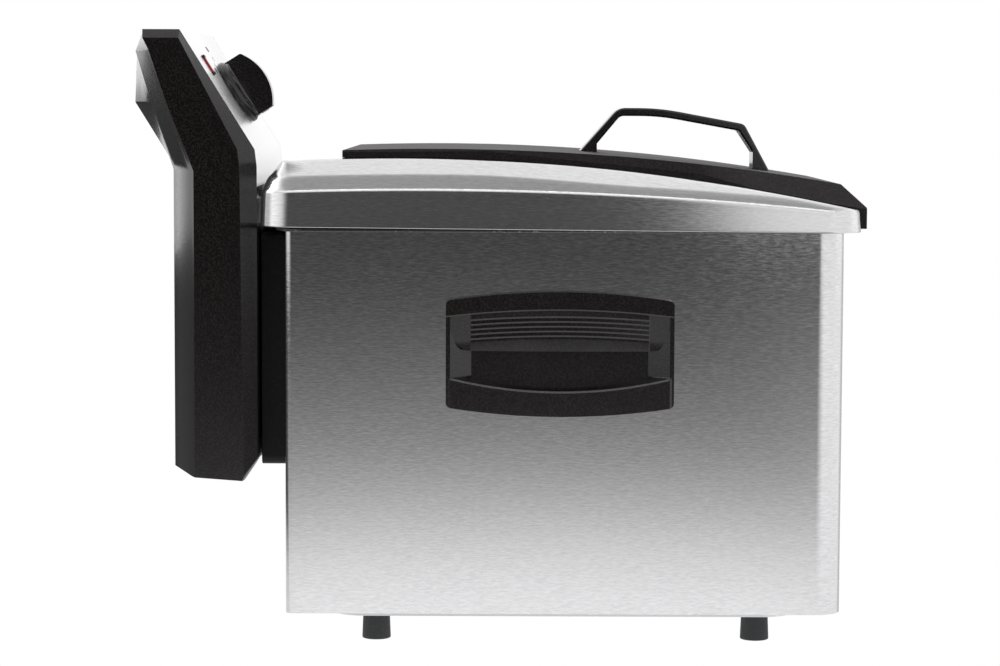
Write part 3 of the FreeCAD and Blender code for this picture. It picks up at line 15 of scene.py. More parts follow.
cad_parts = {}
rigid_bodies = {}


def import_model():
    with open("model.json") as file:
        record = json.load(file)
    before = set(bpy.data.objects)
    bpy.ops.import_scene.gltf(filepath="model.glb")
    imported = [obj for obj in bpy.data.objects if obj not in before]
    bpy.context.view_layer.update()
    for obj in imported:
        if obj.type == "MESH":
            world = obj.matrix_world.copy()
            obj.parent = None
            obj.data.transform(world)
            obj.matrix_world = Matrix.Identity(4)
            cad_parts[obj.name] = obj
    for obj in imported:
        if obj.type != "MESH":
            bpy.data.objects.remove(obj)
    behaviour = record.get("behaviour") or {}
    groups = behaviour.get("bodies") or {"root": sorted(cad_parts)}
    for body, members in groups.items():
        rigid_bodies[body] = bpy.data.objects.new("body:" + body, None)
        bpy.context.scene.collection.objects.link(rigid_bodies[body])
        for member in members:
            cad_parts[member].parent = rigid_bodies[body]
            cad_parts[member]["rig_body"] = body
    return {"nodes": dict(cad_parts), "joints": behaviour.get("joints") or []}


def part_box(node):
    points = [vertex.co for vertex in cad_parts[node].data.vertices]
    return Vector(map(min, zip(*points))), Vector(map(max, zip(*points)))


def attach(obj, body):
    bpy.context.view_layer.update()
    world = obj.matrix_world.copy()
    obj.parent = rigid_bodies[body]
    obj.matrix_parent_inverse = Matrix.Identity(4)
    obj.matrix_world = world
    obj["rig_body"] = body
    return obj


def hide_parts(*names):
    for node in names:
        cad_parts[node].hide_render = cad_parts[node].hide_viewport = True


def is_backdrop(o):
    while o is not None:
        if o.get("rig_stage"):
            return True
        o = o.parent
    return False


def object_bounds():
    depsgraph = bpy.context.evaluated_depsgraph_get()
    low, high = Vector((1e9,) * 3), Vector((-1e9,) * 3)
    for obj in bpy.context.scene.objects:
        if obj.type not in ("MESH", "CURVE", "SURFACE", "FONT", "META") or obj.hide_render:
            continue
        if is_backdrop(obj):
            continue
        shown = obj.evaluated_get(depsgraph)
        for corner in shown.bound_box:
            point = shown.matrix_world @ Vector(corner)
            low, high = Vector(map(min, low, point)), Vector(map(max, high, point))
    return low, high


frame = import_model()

cad_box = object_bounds()
nodes = frame["nodes"]
mm = 0.001
print("solids:", len(nodes), "box:", [tuple(round(v, 4) for v in corner) for corner in cad_box])

# %% [markdown]
# The camera comes first, because it decides which details matter. The picture was taken from a
# little above the lid with a long lens, square to the fryer's side, so upright edges stay nearly
# upright without any lens shift. The lens is worked out from the picture's width in pixels, and a
# small roll matches the slight tilt of its level edges.

# %% Camera
picture_width = 1000
focal_pixels = 2816
horizon_offset = 233
roll = math.radians(0.22)
camera_place = (0.00505, -1.725, 0.315)
camera_data = bpy.data.cameras.new("studio_camera")
camera_data.sensor_width = 36.0
camera_data.lens = camera_data.sensor_width * focal_pixels / picture_width
camera_data.clip_end = 50.0
camera = bpy.data.objects.new("studio_camera", camera_data)
bpy.context.scene.collection.objects.link(camera)
pitch = math.atan(horizon_offset / focal_pixels)
aim = Euler((math.pi / 2 - pitch, 0, 0)).to_matrix() @ Matrix.Rotation(roll, 3, "Z")
camera.matrix_world = Matrix.Translation(camera_place) @ aim.to_4x4()
bpy.context.scene.camera = camera
print("lens:", round(camera_data.lens, 2), "mm, looking down", round(math.degrees(pitch), 2), "degrees")

# %% [markdown]
# Every finish and the room itself are node trees. Four helpers keep them short enough to read: one
# adds a node, one fills its sockets by name, one joins sockets and one sets the stops of a ramp.

# %% Helpers for nodes
def add_node(tree, kind, where=(0, 0), **settings):
    """A node with its settings given by name."""
    node = tree.nodes.new(kind)
    node.location = where
    for name, value in settings.items():
        setattr(node, name, value)
    return node


def fill(node, **values):
    """Sets sockets by name, with _ for each space."""
    for name, value in values.items():
        node.inputs[name.replace("_", " ")].default_value = value
    return node


def wire(tree, *pairs):
    """Joins sockets, given as pairs of output and input."""
    for start, end in pairs:
        tree.links.new(start, end)


def ramp_stops(node, stops):
    """Sets a colour ramp to stops of place and grey."""
    elements = node.color_ramp.elements
    while len(elements) < len(stops):
        elements.new(0.5)
    for element, (place, grey) in zip(elements, stops):
        element.position = place
        element.color = (grey, grey, grey, 1.0)


# %% [markdown]
# Brushed steel is a mirror drawn out in one direction, so it shows the room more than it shows
# itself. The room is a white cove: bright behind and at the sides, dim towards the camera. Each
# side of it is a grey that changes with height, and neighbouring sides melt into each other. Only
# reflections see those greys: looked at straight on, the room is plain white.

# %% Helpers for the room
def blend_by(tree, axis, limits, first, second, where):
    """Mixes two colour sockets by how far a direction leans along one axis."""
    share = fill(add_node(tree, "ShaderNodeMapRange", where, interpolation_type="SMOOTHSTEP"),
                 From_Min=limits[0], From_Max=limits[1])
    both = add_node(tree, "ShaderNodeMix", (where[0] + 200, where[1]), data_type="RGBA")
    wire(tree, (axis, share.inputs["Value"]), (share.outputs[0], both.inputs[0]),
         (first, both.inputs[6]), (second, both.inputs[7]))
    return both.outputs[2]


def shade_by(tree, axis, stops, where):
    """A grey that changes along one axis."""
    node = add_node(tree, "ShaderNodeValToRGB", where)
    ramp_stops(node, stops)
    wire(tree, (axis, node.inputs["Fac"]))
    return node.outputs["Color"]


def white_to_the_camera(tree, kind, output, colour):
    """Shows plain white to the camera and a painted colour to everything else."""
    out = add_node(tree, output, (900, 0))
    chooser = add_node(tree, "ShaderNodeMixShader", (700, 0))
    rays = add_node(tree, "ShaderNodeLightPath", (400, 300))
    seen = fill(add_node(tree, kind, (400, 100)), Color=(1, 1, 1, 1), Strength=1.0)
    painted = add_node(tree, kind, (400, -100))
    wire(tree, (colour, painted.inputs["Color"]), (rays.outputs["Is Camera Ray"], chooser.inputs["Fac"]),
         (painted.outputs[0], chooser.inputs[1]), (seen.outputs[0], chooser.inputs[2]),
         (chooser.outputs[0], out.inputs["Surface"]))


# %% Sides of the room, as stops of height and grey
front_stops = [(0.0, 0.06), (0.03, 0.10), (0.30, 0.07), (0.46, 0.6), (0.60, 1.4), (0.74, 0.9),
               (0.86, 0.45), (0.955, 0.40), (1.0, 0.40)]
left_stops = [(0.0, 1.25), (0.5, 1.2), (0.8, 0.9), (1.0, 0.5)]
right_stops = [(0.0, 1.0), (0.5, 1.0), (0.8, 0.8), (1.0, 0.5)]
back_stops = [(0.0, 1.15), (0.4, 1.2), (0.7, 1.1), (0.93, 1.02), (1.0, 0.45)]
back_left_stops = [(0.0, 0.6), (0.12, 0.7), (0.3, 2.6), (0.6, 2.8), (1.0, 0.8)]
back_right_stops = [(0.0, 0.6), (0.5, 0.6), (1.0, 0.4)]

# %% [markdown]
# The sides are joined by the direction that is looked in: first along the length, then from front
# to back. Soft blends between wide limits leave no seam that the steel could mirror.

# %% Room
front_to_right, front_to_left = (0.16, 0.38), (-0.35, -1.0)
back_to_left, back_to_right, back_only = (-0.35, -0.60), (0.2, 0.45), (0.5, 0.85)
front_to_back = (-0.25, 0.15)


def paint_room(tree):
    """Joins the sides of the room by the direction that is looked in."""
    tree.nodes.clear()
    direction = add_node(tree, "ShaderNodeTexCoord", (-1000, 0))
    split = add_node(tree, "ShaderNodeSeparateXYZ", (-800, 0))
    wire(tree, (direction.outputs["Generated"], split.inputs[0]))
    along, across, up = split.outputs
    front_side = shade_by(tree, up, front_stops, (-500, -200))
    right_side = shade_by(tree, up, right_stops, (-500, -700))
    left_side = shade_by(tree, up, left_stops, (-500, -950))
    back_side = shade_by(tree, up, back_stops, (-500, -450))
    back_left = shade_by(tree, up, back_left_stops, (-500, -1200))
    back_right = shade_by(tree, up, back_right_stops, (-500, -1450))
    front = blend_by(tree, along, front_to_right, front_side, right_side, (-250, -200))
    front = blend_by(tree, along, front_to_left, front, left_side, (-50, -400))
    back = blend_by(tree, along, back_to_left, back_side, back_left, (-50, -700))
    shaded_back = blend_by(tree, along, back_to_right, back, back_right, (-50, -1000))
    back = blend_by(tree, across, back_only, back, shaded_back, (50, -850))
    whole = blend_by(tree, across, front_to_back, front, back, (150, -200))
    white_to_the_camera(tree, "ShaderNodeBackground", "ShaderNodeOutputWorld", whole)


world = bpy.data.worlds.new("studio_room")
bpy.context.scene.world = world
world.use_nodes = True
paint_room(world.node_tree)
print("room:", len(world.node_tree.nodes), "nodes")

# %% [markdown]
# The floor is white to the eye too, but the casing mirrors it: a point high on the wall shows the
# floor far away, and a point near its foot shows the floor close by. So a floor that grows darker
# with distance gives the steel its slow change from bright at the foot to grey at the top. The
# sectors at the right and behind have their own shade, which the ends of the fryer mirror.

# %% Shades of the floor
floor_reach = 4.0
far_stops = [(0.0, 1.2), (0.078, 1.08), (0.118, 0.92), (0.18, 0.61), (0.256, 0.36), (0.36, 0.24),
             (0.506, 0.15), (0.78, 0.085), (1.0, 0.06)]
dim_stops = [(0.0, 1.1), (0.09, 0.8), (0.16, 0.10), (1.0, 0.05)]
bright_grey, shade_grey = 1.05, 0.6
sector_centre = (0.2, -0.12, 0)
right_sector = (0.0, 0.6)
rear_left_sector, rear_left_start = (-0.25, -0.5), (-0.3, 0.0)
rear_right_sector, rear_right_start = (0.1, 0.35), (0.5, 0.85)
print("floor shades:", len(far_stops), "from near to far")

# %% Paint of the floor
def plain_grey(tree, grey, where):
    """The socket of one grey."""
    node = add_node(tree, "ShaderNodeRGB", where)
    node.outputs[0].default_value = (grey, grey, grey, 1)
    return node.outputs[0]


def paint_floor(tree):
    """Shades the floor by distance, and each sector by its direction from a centre."""
    tree.nodes.clear()
    spot = add_node(tree, "ShaderNodeTexCoord", (-1000, -100))
    reach = add_node(tree, "ShaderNodeVectorMath", (-800, -100), operation="LENGTH")
    spread = fill(add_node(tree, "ShaderNodeMapRange", (-600, -100)), From_Max=floor_reach)
    shift = add_node(tree, "ShaderNodeVectorMath", (-800, -400), operation="SUBTRACT")
    shift.inputs[1].default_value = sector_centre
    turned = add_node(tree, "ShaderNodeVectorMath", (-600, -400), operation="NORMALIZE")
    split = add_node(tree, "ShaderNodeSeparateXYZ", (-400, -400))
    wire(tree, (spot.outputs["Object"], reach.inputs[0]), (reach.outputs["Value"], spread.inputs["Value"]),
         (spot.outputs["Object"], shift.inputs[0]), (shift.outputs[0], turned.inputs[0]),
         (turned.outputs[0], split.inputs[0]))
    along, across = split.outputs["X"], split.outputs["Y"]
    near_to_far = shade_by(tree, spread.outputs[0], far_stops, (-400, -100))
    dim = shade_by(tree, spread.outputs[0], dim_stops, (-400, -800))
    bright = plain_grey(tree, bright_grey, (-400, -600))
    shade = plain_grey(tree, shade_grey, (100, -700))
    painted = blend_by(tree, along, right_sector, near_to_far, bright, (-200, -300))
    rear_left = blend_by(tree, along, rear_left_sector, painted, dim, (0, -500))
    painted = blend_by(tree, across, rear_left_start, painted, rear_left, (100, -300))
    rear_right = blend_by(tree, along, rear_right_sector, painted, shade, (200, -500))
    painted = blend_by(tree, across, rear_right_start, painted, rear_right, (300, -300))
    white_to_the_camera(tree, "ShaderNodeEmission", "ShaderNodeOutputMaterial", painted)


# %% Floor
bpy.ops.object.select_all(action="DESELECT")
bpy.ops.mesh.primitive_circle_add(vertices=96, radius=floor_reach, fill_type="NGON", location=(0, 0, 0))
floor = bpy.context.object
floor.name = "floor"
floor_paint = bpy.data.materials.new("floor_paint")
floor_paint.use_nodes = True
paint_floor(floor_paint.node_tree)
floor.data.materials.append(floor_paint)
floor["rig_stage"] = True
print("floor:", round(floor.dimensions.x, 2), "m across")

# %% [markdown]
# The lid's skirt leans out by half a millimetre, so it doesn't mirror the floor but what stands in
# front of the fryer. A white card beside the camera makes the skirt bright towards its front end,
# as a reflector does in a studio. The card fades in from one side, and only reflections see it.

# %% Card that brightens the front end of the lid
card_side = 0.9
card_left, card_distance, card_bottom = 0.215, 1.9, 0.215
card_fade, card_dark = 0.12, 0.08


def paint_card(tree):
    """A glow that fades in from the card's left edge."""
    tree.nodes.clear()
    out = add_node(tree, "ShaderNodeOutputMaterial", (600, 0))
    glow = add_node(tree, "ShaderNodeEmission", (400, 0))
    spot = add_node(tree, "ShaderNodeTexCoord", (-400, 0))
    split = add_node(tree, "ShaderNodeSeparateXYZ", (-200, 0))
    rise = fill(add_node(tree, "ShaderNodeMapRange", (0, 0), interpolation_type="SMOOTHSTEP"),
                From_Min=card_left, From_Max=card_left + card_fade, To_Min=card_dark, To_Max=1.0)
    wire(tree, (spot.outputs["Object"], split.inputs[0]), (split.outputs["X"], rise.inputs["Value"]),
         (rise.outputs[0], glow.inputs["Strength"]), (glow.outputs[0], out.inputs["Surface"]))


bpy.ops.object.select_all(action="DESELECT")
card_centre = (card_left + card_side / 2, -card_distance, card_bottom + card_side / 2)
bpy.ops.mesh.primitive_plane_add(size=card_side, rotation=(math.pi / 2, 0, 0), location=card_centre)
card = bpy.context.object
card.name = "light_card"
bpy.ops.object.transform_apply(location=True, rotation=True, scale=True)
card_paint = bpy.data.materials.new("card_paint")
card_paint.use_nodes = True
paint_card(card_paint.node_tree)
card.data.materials.append(card_paint)
card.visible_camera = False
card.visible_diffuse = False
card.visible_shadow = False
card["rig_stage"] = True
print("card:", round(card_left, 3), "to", round(card_left + card_side, 3), "m along")

# %% [markdown]
# Two lamps add what the room can't: a wide soft one overhead that models the shapes but stays out
# of reflections, and a narrow strip high in front that draws a thin bright line along the bends.

# %% Lights
lamp_target = (0, 0, 0.2)


def softbox(name, place, size, power):
    """A rectangular light aimed at the fryer."""
    data = bpy.data.lights.new(name, "AREA")
    data.shape = "RECTANGLE"
    data.size, data.size_y = size
    data.energy = power
    lamp = bpy.data.objects.new(name, data)
    bpy.context.scene.collection.objects.link(lamp)
    direction = Vector(lamp_target) - Vector(place)
    lamp.matrix_world = Matrix.Translation(place) @ direction.to_track_quat("-Z", "Y").to_matrix().to_4x4()
    return lamp


softbox("top_light", place=(0.1, 0.5, 2.4), size=(2.4, 1.6), power=14).visible_glossy = False
softbox("strip_light", place=(0, -1.7, 2.2), size=(2.6, 0.14), power=2.4)
scene = bpy.context.scene
scene.view_settings.view_transform = "Standard"

# %% [markdown]
# Everything made in edit mode starts the same way: nothing else is selected, the piece is active,
# and its faces or edges are then picked by where they are. A few small helpers keep that short.

# %% Helpers for picking
def start_clean():
    """Object mode with nothing selected."""
    if bpy.context.object and bpy.context.object.mode != "OBJECT":
        bpy.ops.object.mode_set(mode="OBJECT")
    bpy.ops.object.select_all(action="DESELECT")


def work_on(piece):
    """Makes a piece the only selected and active one."""
    start_clean()
    piece.select_set(True)
    bpy.context.view_layer.objects.active = piece


def open_mesh(piece):
    """Edit mode on one piece with nothing picked."""
    work_on(piece)
    bpy.ops.object.mode_set(mode="EDIT")
    bpy.ops.mesh.select_mode(type="VERT")
    bpy.ops.mesh.select_all(action="DESELECT")


def pick(piece, kind, test):
    """Picks the verts, edges or faces that pass a test, and says how many."""
    work = bmesh.from_edit_mesh(piece.data)
    work.normal_update()
    family = {"VERT": work.verts, "EDGE": work.edges, "FACE": work.faces}[kind]
    bpy.ops.mesh.select_mode(type=kind)
    bpy.ops.mesh.select_all(action="DESELECT")
    count = 0
    for item in family:
        if test(item):
            item.select_set(True)
            count += 1
    work.select_flush_mode()
    bmesh.update_edit_mesh(piece.data)
    return count


# %% [markdown]
# A piece is finished by modifiers, which are applied at once so that the mesh is what is seen. The
# one used most rounds the edges: after a bevel, weighted normals keep the flat faces flat in
# shading, and only the narrow rounding turns the light.

# %% Helpers for finishing a shape
flat_face_weight = 60


def add_modifier(piece, kind, **values):
    """Adds a modifier with its settings and applies it at once."""
    work_on(piece)
    bpy.ops.object.modifier_add(type=kind)
    modifier = piece.modifiers[-1]
    for name, value in values.items():
        setattr(modifier, name, value)
    bpy.ops.object.modifier_apply(modifier=modifier.name)


def smooth(piece, degrees):
    """Smooth shading that stays crisp over edges sharper than an angle."""
    work_on(piece)
    bpy.ops.object.shade_smooth_by_angle(angle=math.radians(degrees))


def round_edges(piece, width, segments=2, degrees=28, crisp=32):
    """Rounds edges sharper than an angle by a width in mm, and keeps flat faces flat in shading."""
    add_modifier(piece, "BEVEL", width=width * mm, segments=segments, limit_method="ANGLE",
                 angle_limit=math.radians(degrees), miter_outer="MITER_ARC", use_clamp_overlap=True)
    smooth(piece, crisp)
    add_modifier(piece, "WEIGHTED_NORMAL", keep_sharp=True, weight=flat_face_weight)


# %% [markdown]
# A finished piece is named, gets its finish and is told which moving body it rides on, and the solids that
# it stands for are hidden. Pieces that repeat are modelled once and copied, and small ones that belong
# together are joined.

# %% Helpers for whole pieces
def settle(piece, name, body, slot, finish, *stands_for):
    """Names a finished piece, gives it its finish and lets it ride on its body."""
    work_on(piece)
    bpy.ops.object.transform_apply(location=True, rotation=True, scale=True)
    piece.name = name
    piece.data.name = name
    piece.data.materials.clear()
    piece.data.materials.append(finish)
    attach(piece, body)
    if stands_for:
        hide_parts(*stands_for)
    print(name + ":", len(piece.data.polygons), "faces on", body)
    return piece


def twin(piece):
    """A copy of a piece with its own mesh."""
    copy = piece.copy()
    copy.data = piece.data.copy()
    bpy.context.scene.collection.objects.link(copy)
    return copy


def join(pieces):
    """Makes several pieces one object, the first of them."""
    start_clean()
    for piece in pieces:
        piece.select_set(True)
    bpy.context.view_layer.objects.active = pieces[0]
    bpy.ops.object.join()
    return pieces[0]


# %% [markdown]
# Finishes share a few effects, so each effect is a node group made once: flecks and moulding
# grain for the plastic, brushed lines for the steel, faint cloudiness from handling, and a mask
# that finds edges. A group only gives masks and heights. Each finish decides what to do with them.

# %% Groups for effects
def new_group(name, inputs, outputs):
    """An empty node group with named value inputs and outputs."""
    tree = bpy.data.node_groups.new(name, "ShaderNodeTree")
    for label, value in inputs:
        socket = tree.interface.new_socket(label, in_out="INPUT", socket_type="NodeSocketFloat")
        socket.default_value = value
    for label in outputs:
        tree.interface.new_socket(label, in_out="OUTPUT", socket_type="NodeSocketFloat")
    start = add_node(tree, "NodeGroupInput", (-900, 0))
    end = add_node(tree, "NodeGroupOutput", (700, 0))
    return tree, start, end


# %% [markdown]
# The plastic's flecks are tiny chips of a paler plastic with clear edges. A cell pattern gives such
# edges, which plain noise wouldn't: some cells are chosen by chance, and only the core of each
# counts. The grain is the eroded surface of the mould, and fine noise is enough for it.

# %% Flecks and grain
def make_fleck_group():
    """Some cells of a cell pattern become flecks, and a fine noise becomes the grain."""
    tree, start, end = new_group("flecks_and_grain", [("Fleck Scale", 1400), ("Fleck Share", 0.1),
                                 ("Grain Scale", 900)], ["Flecks", "Grain"])
    spot = add_node(tree, "ShaderNodeTexCoord", (-900, -250))
    cells = add_node(tree, "ShaderNodeTexVoronoi", (-600, 150))
    chance = add_node(tree, "ShaderNodeSeparateColor", (-400, 250))
    chosen = add_node(tree, "ShaderNodeMath", (-200, 250), operation="LESS_THAN")
    core = fill(add_node(tree, "ShaderNodeMapRange", (-200, 50)),
                From_Min=0.3, From_Max=0.7, To_Min=1, To_Max=0)
    fleck = add_node(tree, "ShaderNodeMath", (100, 150), operation="MULTIPLY")
    grain = fill(add_node(tree, "ShaderNodeTexNoise", (-600, -200)), Detail=2.0, Roughness=0.6)
    wire(tree, (spot.outputs["Object"], cells.inputs["Vector"]),
         (start.outputs["Fleck Scale"], cells.inputs["Scale"]),
         (cells.outputs["Color"], chance.inputs[0]), (chance.outputs[0], chosen.inputs[0]),
         (start.outputs["Fleck Share"], chosen.inputs[1]),
         (cells.outputs["Distance"], core.inputs["Value"]),
         (chosen.outputs[0], fleck.inputs[0]), (core.outputs[0], fleck.inputs[1]),
         (fleck.outputs[0], end.inputs["Flecks"]), (spot.outputs["Object"], grain.inputs["Vector"]),
         (start.outputs["Grain Scale"], grain.inputs["Scale"]),
         (grain.outputs["Fac"], end.inputs["Grain"]))
    return tree


fleck_group = make_fleck_group()
print("flecks:", len(fleck_group.nodes), "nodes")

# %% [markdown]
# The brushed lines run along the fryer on its sides and on its lid. A picture of lines would have
# to be unwrapped onto every sheet. Noise that is stretched along the length needs no unwrapping,
# and on level faces it is fine in another direction, so that the lines stay thin there too.

# %% Brushed lines
def make_brush_group():
    """Noise drawn out into lines along the length, on upright and on level faces."""
    tree, start, end = new_group("brushed_lines", [("Fineness", 1300), ("Stretch", 170)], ["Lines"])
    spot = add_node(tree, "ShaderNodeTexCoord", (-900, -250))
    face = add_node(tree, "ShaderNodeNewGeometry", (-900, -500))
    split = add_node(tree, "ShaderNodeSeparateXYZ", (-700, -500))
    upward = add_node(tree, "ShaderNodeMath", (-500, -500), operation="ABSOLUTE")
    level = fill(add_node(tree, "ShaderNodeMapRange", (-300, -500)), From_Min=0.45, From_Max=0.75)
    lines = []
    for row, axes in ((200, ("Stretch", "Stretch", "Fineness")), (0, ("Stretch", "Fineness", "Stretch"))):
        scale = add_node(tree, "ShaderNodeCombineXYZ", (-600, row))
        wire(tree, *[(start.outputs[axis], socket) for axis, socket in zip(axes, scale.inputs)])
        stretched = add_node(tree, "ShaderNodeVectorMath", (-400, row), operation="MULTIPLY")
        noise = add_node(tree, "ShaderNodeTexNoise", (-200, row))
        fill(noise, Scale=1.0, Detail=3.0, Roughness=0.65)
        wire(tree, (spot.outputs["Object"], stretched.inputs[0]), (scale.outputs[0], stretched.inputs[1]),
             (stretched.outputs[0], noise.inputs["Vector"]))
        lines.append(noise)
    both = add_node(tree, "ShaderNodeMix", (200, 100), data_type="FLOAT")
    crisp = fill(add_node(tree, "ShaderNodeMapRange", (450, 100)), From_Min=0.3, From_Max=0.7)
    wire(tree, (face.outputs["Normal"], split.inputs[0]), (split.outputs["Z"], upward.inputs[0]),
         (upward.outputs[0], level.inputs["Value"]), (level.outputs[0], both.inputs[0]),
         (lines[0].outputs["Fac"], both.inputs[2]), (lines[1].outputs["Fac"], both.inputs[3]),
         (both.outputs[0], crisp.inputs["Value"]), (crisp.outputs[0], end.inputs["Lines"]))
    return tree


brush_group = make_brush_group()
print("brushed lines:", len(brush_group.nodes), "nodes")

# %% [markdown]
# Nothing that is used in a kitchen is even all over. Wiping leaves large faint clouds, and hands wear the
# outer edges. Noise makes the clouds, and Blender's own measure of how pointed a surface is finds the
# edges, so no mask has to be painted. The plastic also uses the edge mask for a painted highlight along its
# edges.

# %% Clouds and edge mask
def make_cloud_group():
    """Faint cloudiness, as left by handling and wiping."""
    tree, start, end = new_group("handling_cloud", [("Size", 16), ("Contrast", 0.25)], ["Cloud"])
    spot = add_node(tree, "ShaderNodeTexCoord", (-900, -250))
    noise = add_node(tree, "ShaderNodeTexNoise", (-500, 0))
    fill(noise, Detail=5.0, Roughness=0.62, Distortion=0.6)
    low = add_node(tree, "ShaderNodeMath", (-300, -200), operation="SUBTRACT")
    low.inputs[0].default_value = 0.5
    high = add_node(tree, "ShaderNodeMath", (-300, -400), operation="ADD")
    high.inputs[0].default_value = 0.5
    cloud = add_node(tree, "ShaderNodeMapRange", (0, 0))
    wire(tree, (spot.outputs["Object"], noise.inputs["Vector"]),
         (start.outputs["Size"], noise.inputs["Scale"]),
         (start.outputs["Contrast"], low.inputs[1]), (start.outputs["Contrast"], high.inputs[1]),
         (noise.outputs["Fac"], cloud.inputs["Value"]), (low.outputs[0], cloud.inputs["From Min"]),
         (high.outputs[0], cloud.inputs["From Max"]), (cloud.outputs[0], end.inputs["Cloud"]))
    return tree


def make_edge_group():
    """A mask that is full on sharp outer edges."""
    tree, start, end = new_group("sharp_edge_mask", [("Start", 0.52), ("Full", 0.62)], ["Edges"])
    face = add_node(tree, "ShaderNodeNewGeometry", (-600, 0))
    sharp = add_node(tree, "ShaderNodeMapRange", (-200, 0))
    wire(tree, (face.outputs["Pointiness"], sharp.inputs["Value"]),
         (start.outputs["Start"], sharp.inputs["From Min"]),
         (start.outputs["Full"], sharp.inputs["From Max"]), (sharp.outputs[0], end.inputs["Edges"]))
    return tree


cloud_group = make_cloud_group()
edge_group = make_edge_group()
print("effect groups:", [g.name for g in bpy.data.node_groups])

# %% [markdown]
# A finish is one shader with a few masks plugged into it. These helpers place an effect, let a
# mask drive a value, mix two colours by a mask, and turn a height into relief. A value that is the
# same all over goes straight onto the shader's own socket.

# %% Helpers for finishes
def new_finish(name, **values):
    """A material whose shader gets its plain values straight on its sockets."""
    finish = bpy.data.materials.new(name)
    finish.use_nodes = True
    shader = finish.node_tree.nodes["Principled BSDF"]
    fill(shader, **values)
    return finish, finish.node_tree, shader


def use_group(tree, group, where, **values):
    """Places an effect group with its own values."""
    node = add_node(tree, "ShaderNodeGroup", where, node_tree=group)
    return fill(node, **values)


def grade(tree, mask, socket, limits, where=(-250, 0)):
    """Lets a mask drive a value socket from a low to a high limit."""
    node = fill(add_node(tree, "ShaderNodeMapRange", where), To_Min=limits[0], To_Max=limits[1])
    wire(tree, (mask, node.inputs["Value"]), (node.outputs[0], socket))


def tint(tree, mask, low, high, where=(-250, 250)):
    """Mixes two colours by a mask. Either may be a socket of another mix."""
    node = add_node(tree, "ShaderNodeMix", where, data_type="RGBA")
    wire(tree, (mask, node.inputs[0]))
    for socket, colour in ((node.inputs[6], low), (node.inputs[7], high)):
        if isinstance(colour, tuple):
            socket.default_value = (*colour, 1.0)
        else:
            wire(tree, (colour, socket))
    return node.outputs[2]


def emboss(tree, height, shader, strength, distance, where=(-250, -300)):
    """Turns a height into a small relief."""
    node = fill(add_node(tree, "ShaderNodeBump", where), Strength=strength, Distance=distance)
    wire(tree, (height, node.inputs["Height"]), (node.outputs[0], shader.inputs["Normal"]))


def scaled(colour, factor, lift=0.0):
    """A colour made darker or lighter."""
    return tuple(min(1.0, factor * value + lift) for value in colour)


# %% [markdown]
# The steel is brushed with a fine belt along the length. The belt leaves grooves far too fine to
# model, so the shader spreads its shine across them, and thin streaks change its brightness and
# roughness. Faint clouds keep it from looking like printed paper. Screws, wires, tubes and hidden
# sheet are plain metal, which needs only the clouds and slightly brighter edges.

# %% Recipes for metal
veil_strength, veil_shade = 0.25, 0.93
plain_shade, plain_polish = 0.82, 1.08
groove_strength, groove_depth = 0.03, 0.2 * mm


def steel(name, dark, light, rough, drawn, fineness, stretch):
    """Sheet steel with lines along it, and shine drawn out across them."""
    finish, tree, shader = new_finish(name, Metallic=1.0, Anisotropic=drawn, Anisotropic_Rotation=0.25)
    brush = use_group(tree, brush_group, (-700, 100), Fineness=fineness, Stretch=stretch)
    cloud = use_group(tree, cloud_group, (-700, -150), Size=9.0)
    streaks = tint(tree, brush.outputs["Lines"], dark, light, (-450, 250))
    veil = add_node(tree, "ShaderNodeMath", (-450, -150), operation="MULTIPLY")
    veil.inputs[1].default_value = veil_strength
    wire(tree, (cloud.outputs["Cloud"], veil.inputs[0]))
    clouded = tint(tree, veil.outputs[0], streaks, scaled(light, veil_shade))
    wire(tree, (clouded, shader.inputs["Base Color"]))
    grade(tree, brush.outputs["Lines"], shader.inputs["Roughness"], rough)
    emboss(tree, brush.outputs["Lines"], shader, groove_strength, groove_depth)
    return finish


def plain_metal(name, colour, rough):
    """Rolled, drawn or plated metal with a soft cloudiness and slightly brighter edges."""
    finish, tree, shader = new_finish(name, Metallic=1.0)
    cloud = use_group(tree, cloud_group, (-700, 0), Size=40.0)
    edges = use_group(tree, edge_group, (-700, -200))
    body = tint(tree, cloud.outputs["Cloud"], scaled(colour, plain_shade), colour, (-450, 250))
    edge_lightened = tint(tree, edges.outputs["Edges"], body, scaled(colour, plain_polish))
    wire(tree, (edge_lightened, shader.inputs["Base Color"]))
    grade(tree, cloud.outputs["Cloud"], shader.inputs["Roughness"], rough)
    return finish


# %% Metal finishes
finishes = {}
finishes["casing_steel"] = steel("brushed_steel", dark=(0.59, 0.59, 0.60), light=(0.79, 0.79, 0.80),
                                 rough=(0.07, 0.13), drawn=0.5, fineness=1300, stretch=230)
lid_steel = steel("lid_steel", dark=(0.61, 0.61, 0.62), light=(0.79, 0.79, 0.79),
                  rough=(0.09, 0.15), drawn=0.0, fineness=1500, stretch=200)
plate_steel = steel("plate_steel", dark=(0.86, 0.86, 0.86), light=(0.94, 0.94, 0.94),
                    rough=(0.26, 0.36), drawn=0.4, fineness=1900, stretch=170)
for slot, colour, rough in (("zinc_steel", (0.70, 0.71, 0.72), (0.30, 0.45)),
                            ("screw_steel", (0.66, 0.66, 0.67), (0.18, 0.30)),
                            ("basket_wire", (0.78, 0.78, 0.79), (0.10, 0.20)),
                            ("element_tube", (0.34, 0.31, 0.28), (0.26, 0.42)),
                            ("copper_line", (0.72, 0.38, 0.22), (0.22, 0.36))):
    finishes[slot] = plain_metal(slot, colour, rough)
print("metals:", list(finishes))
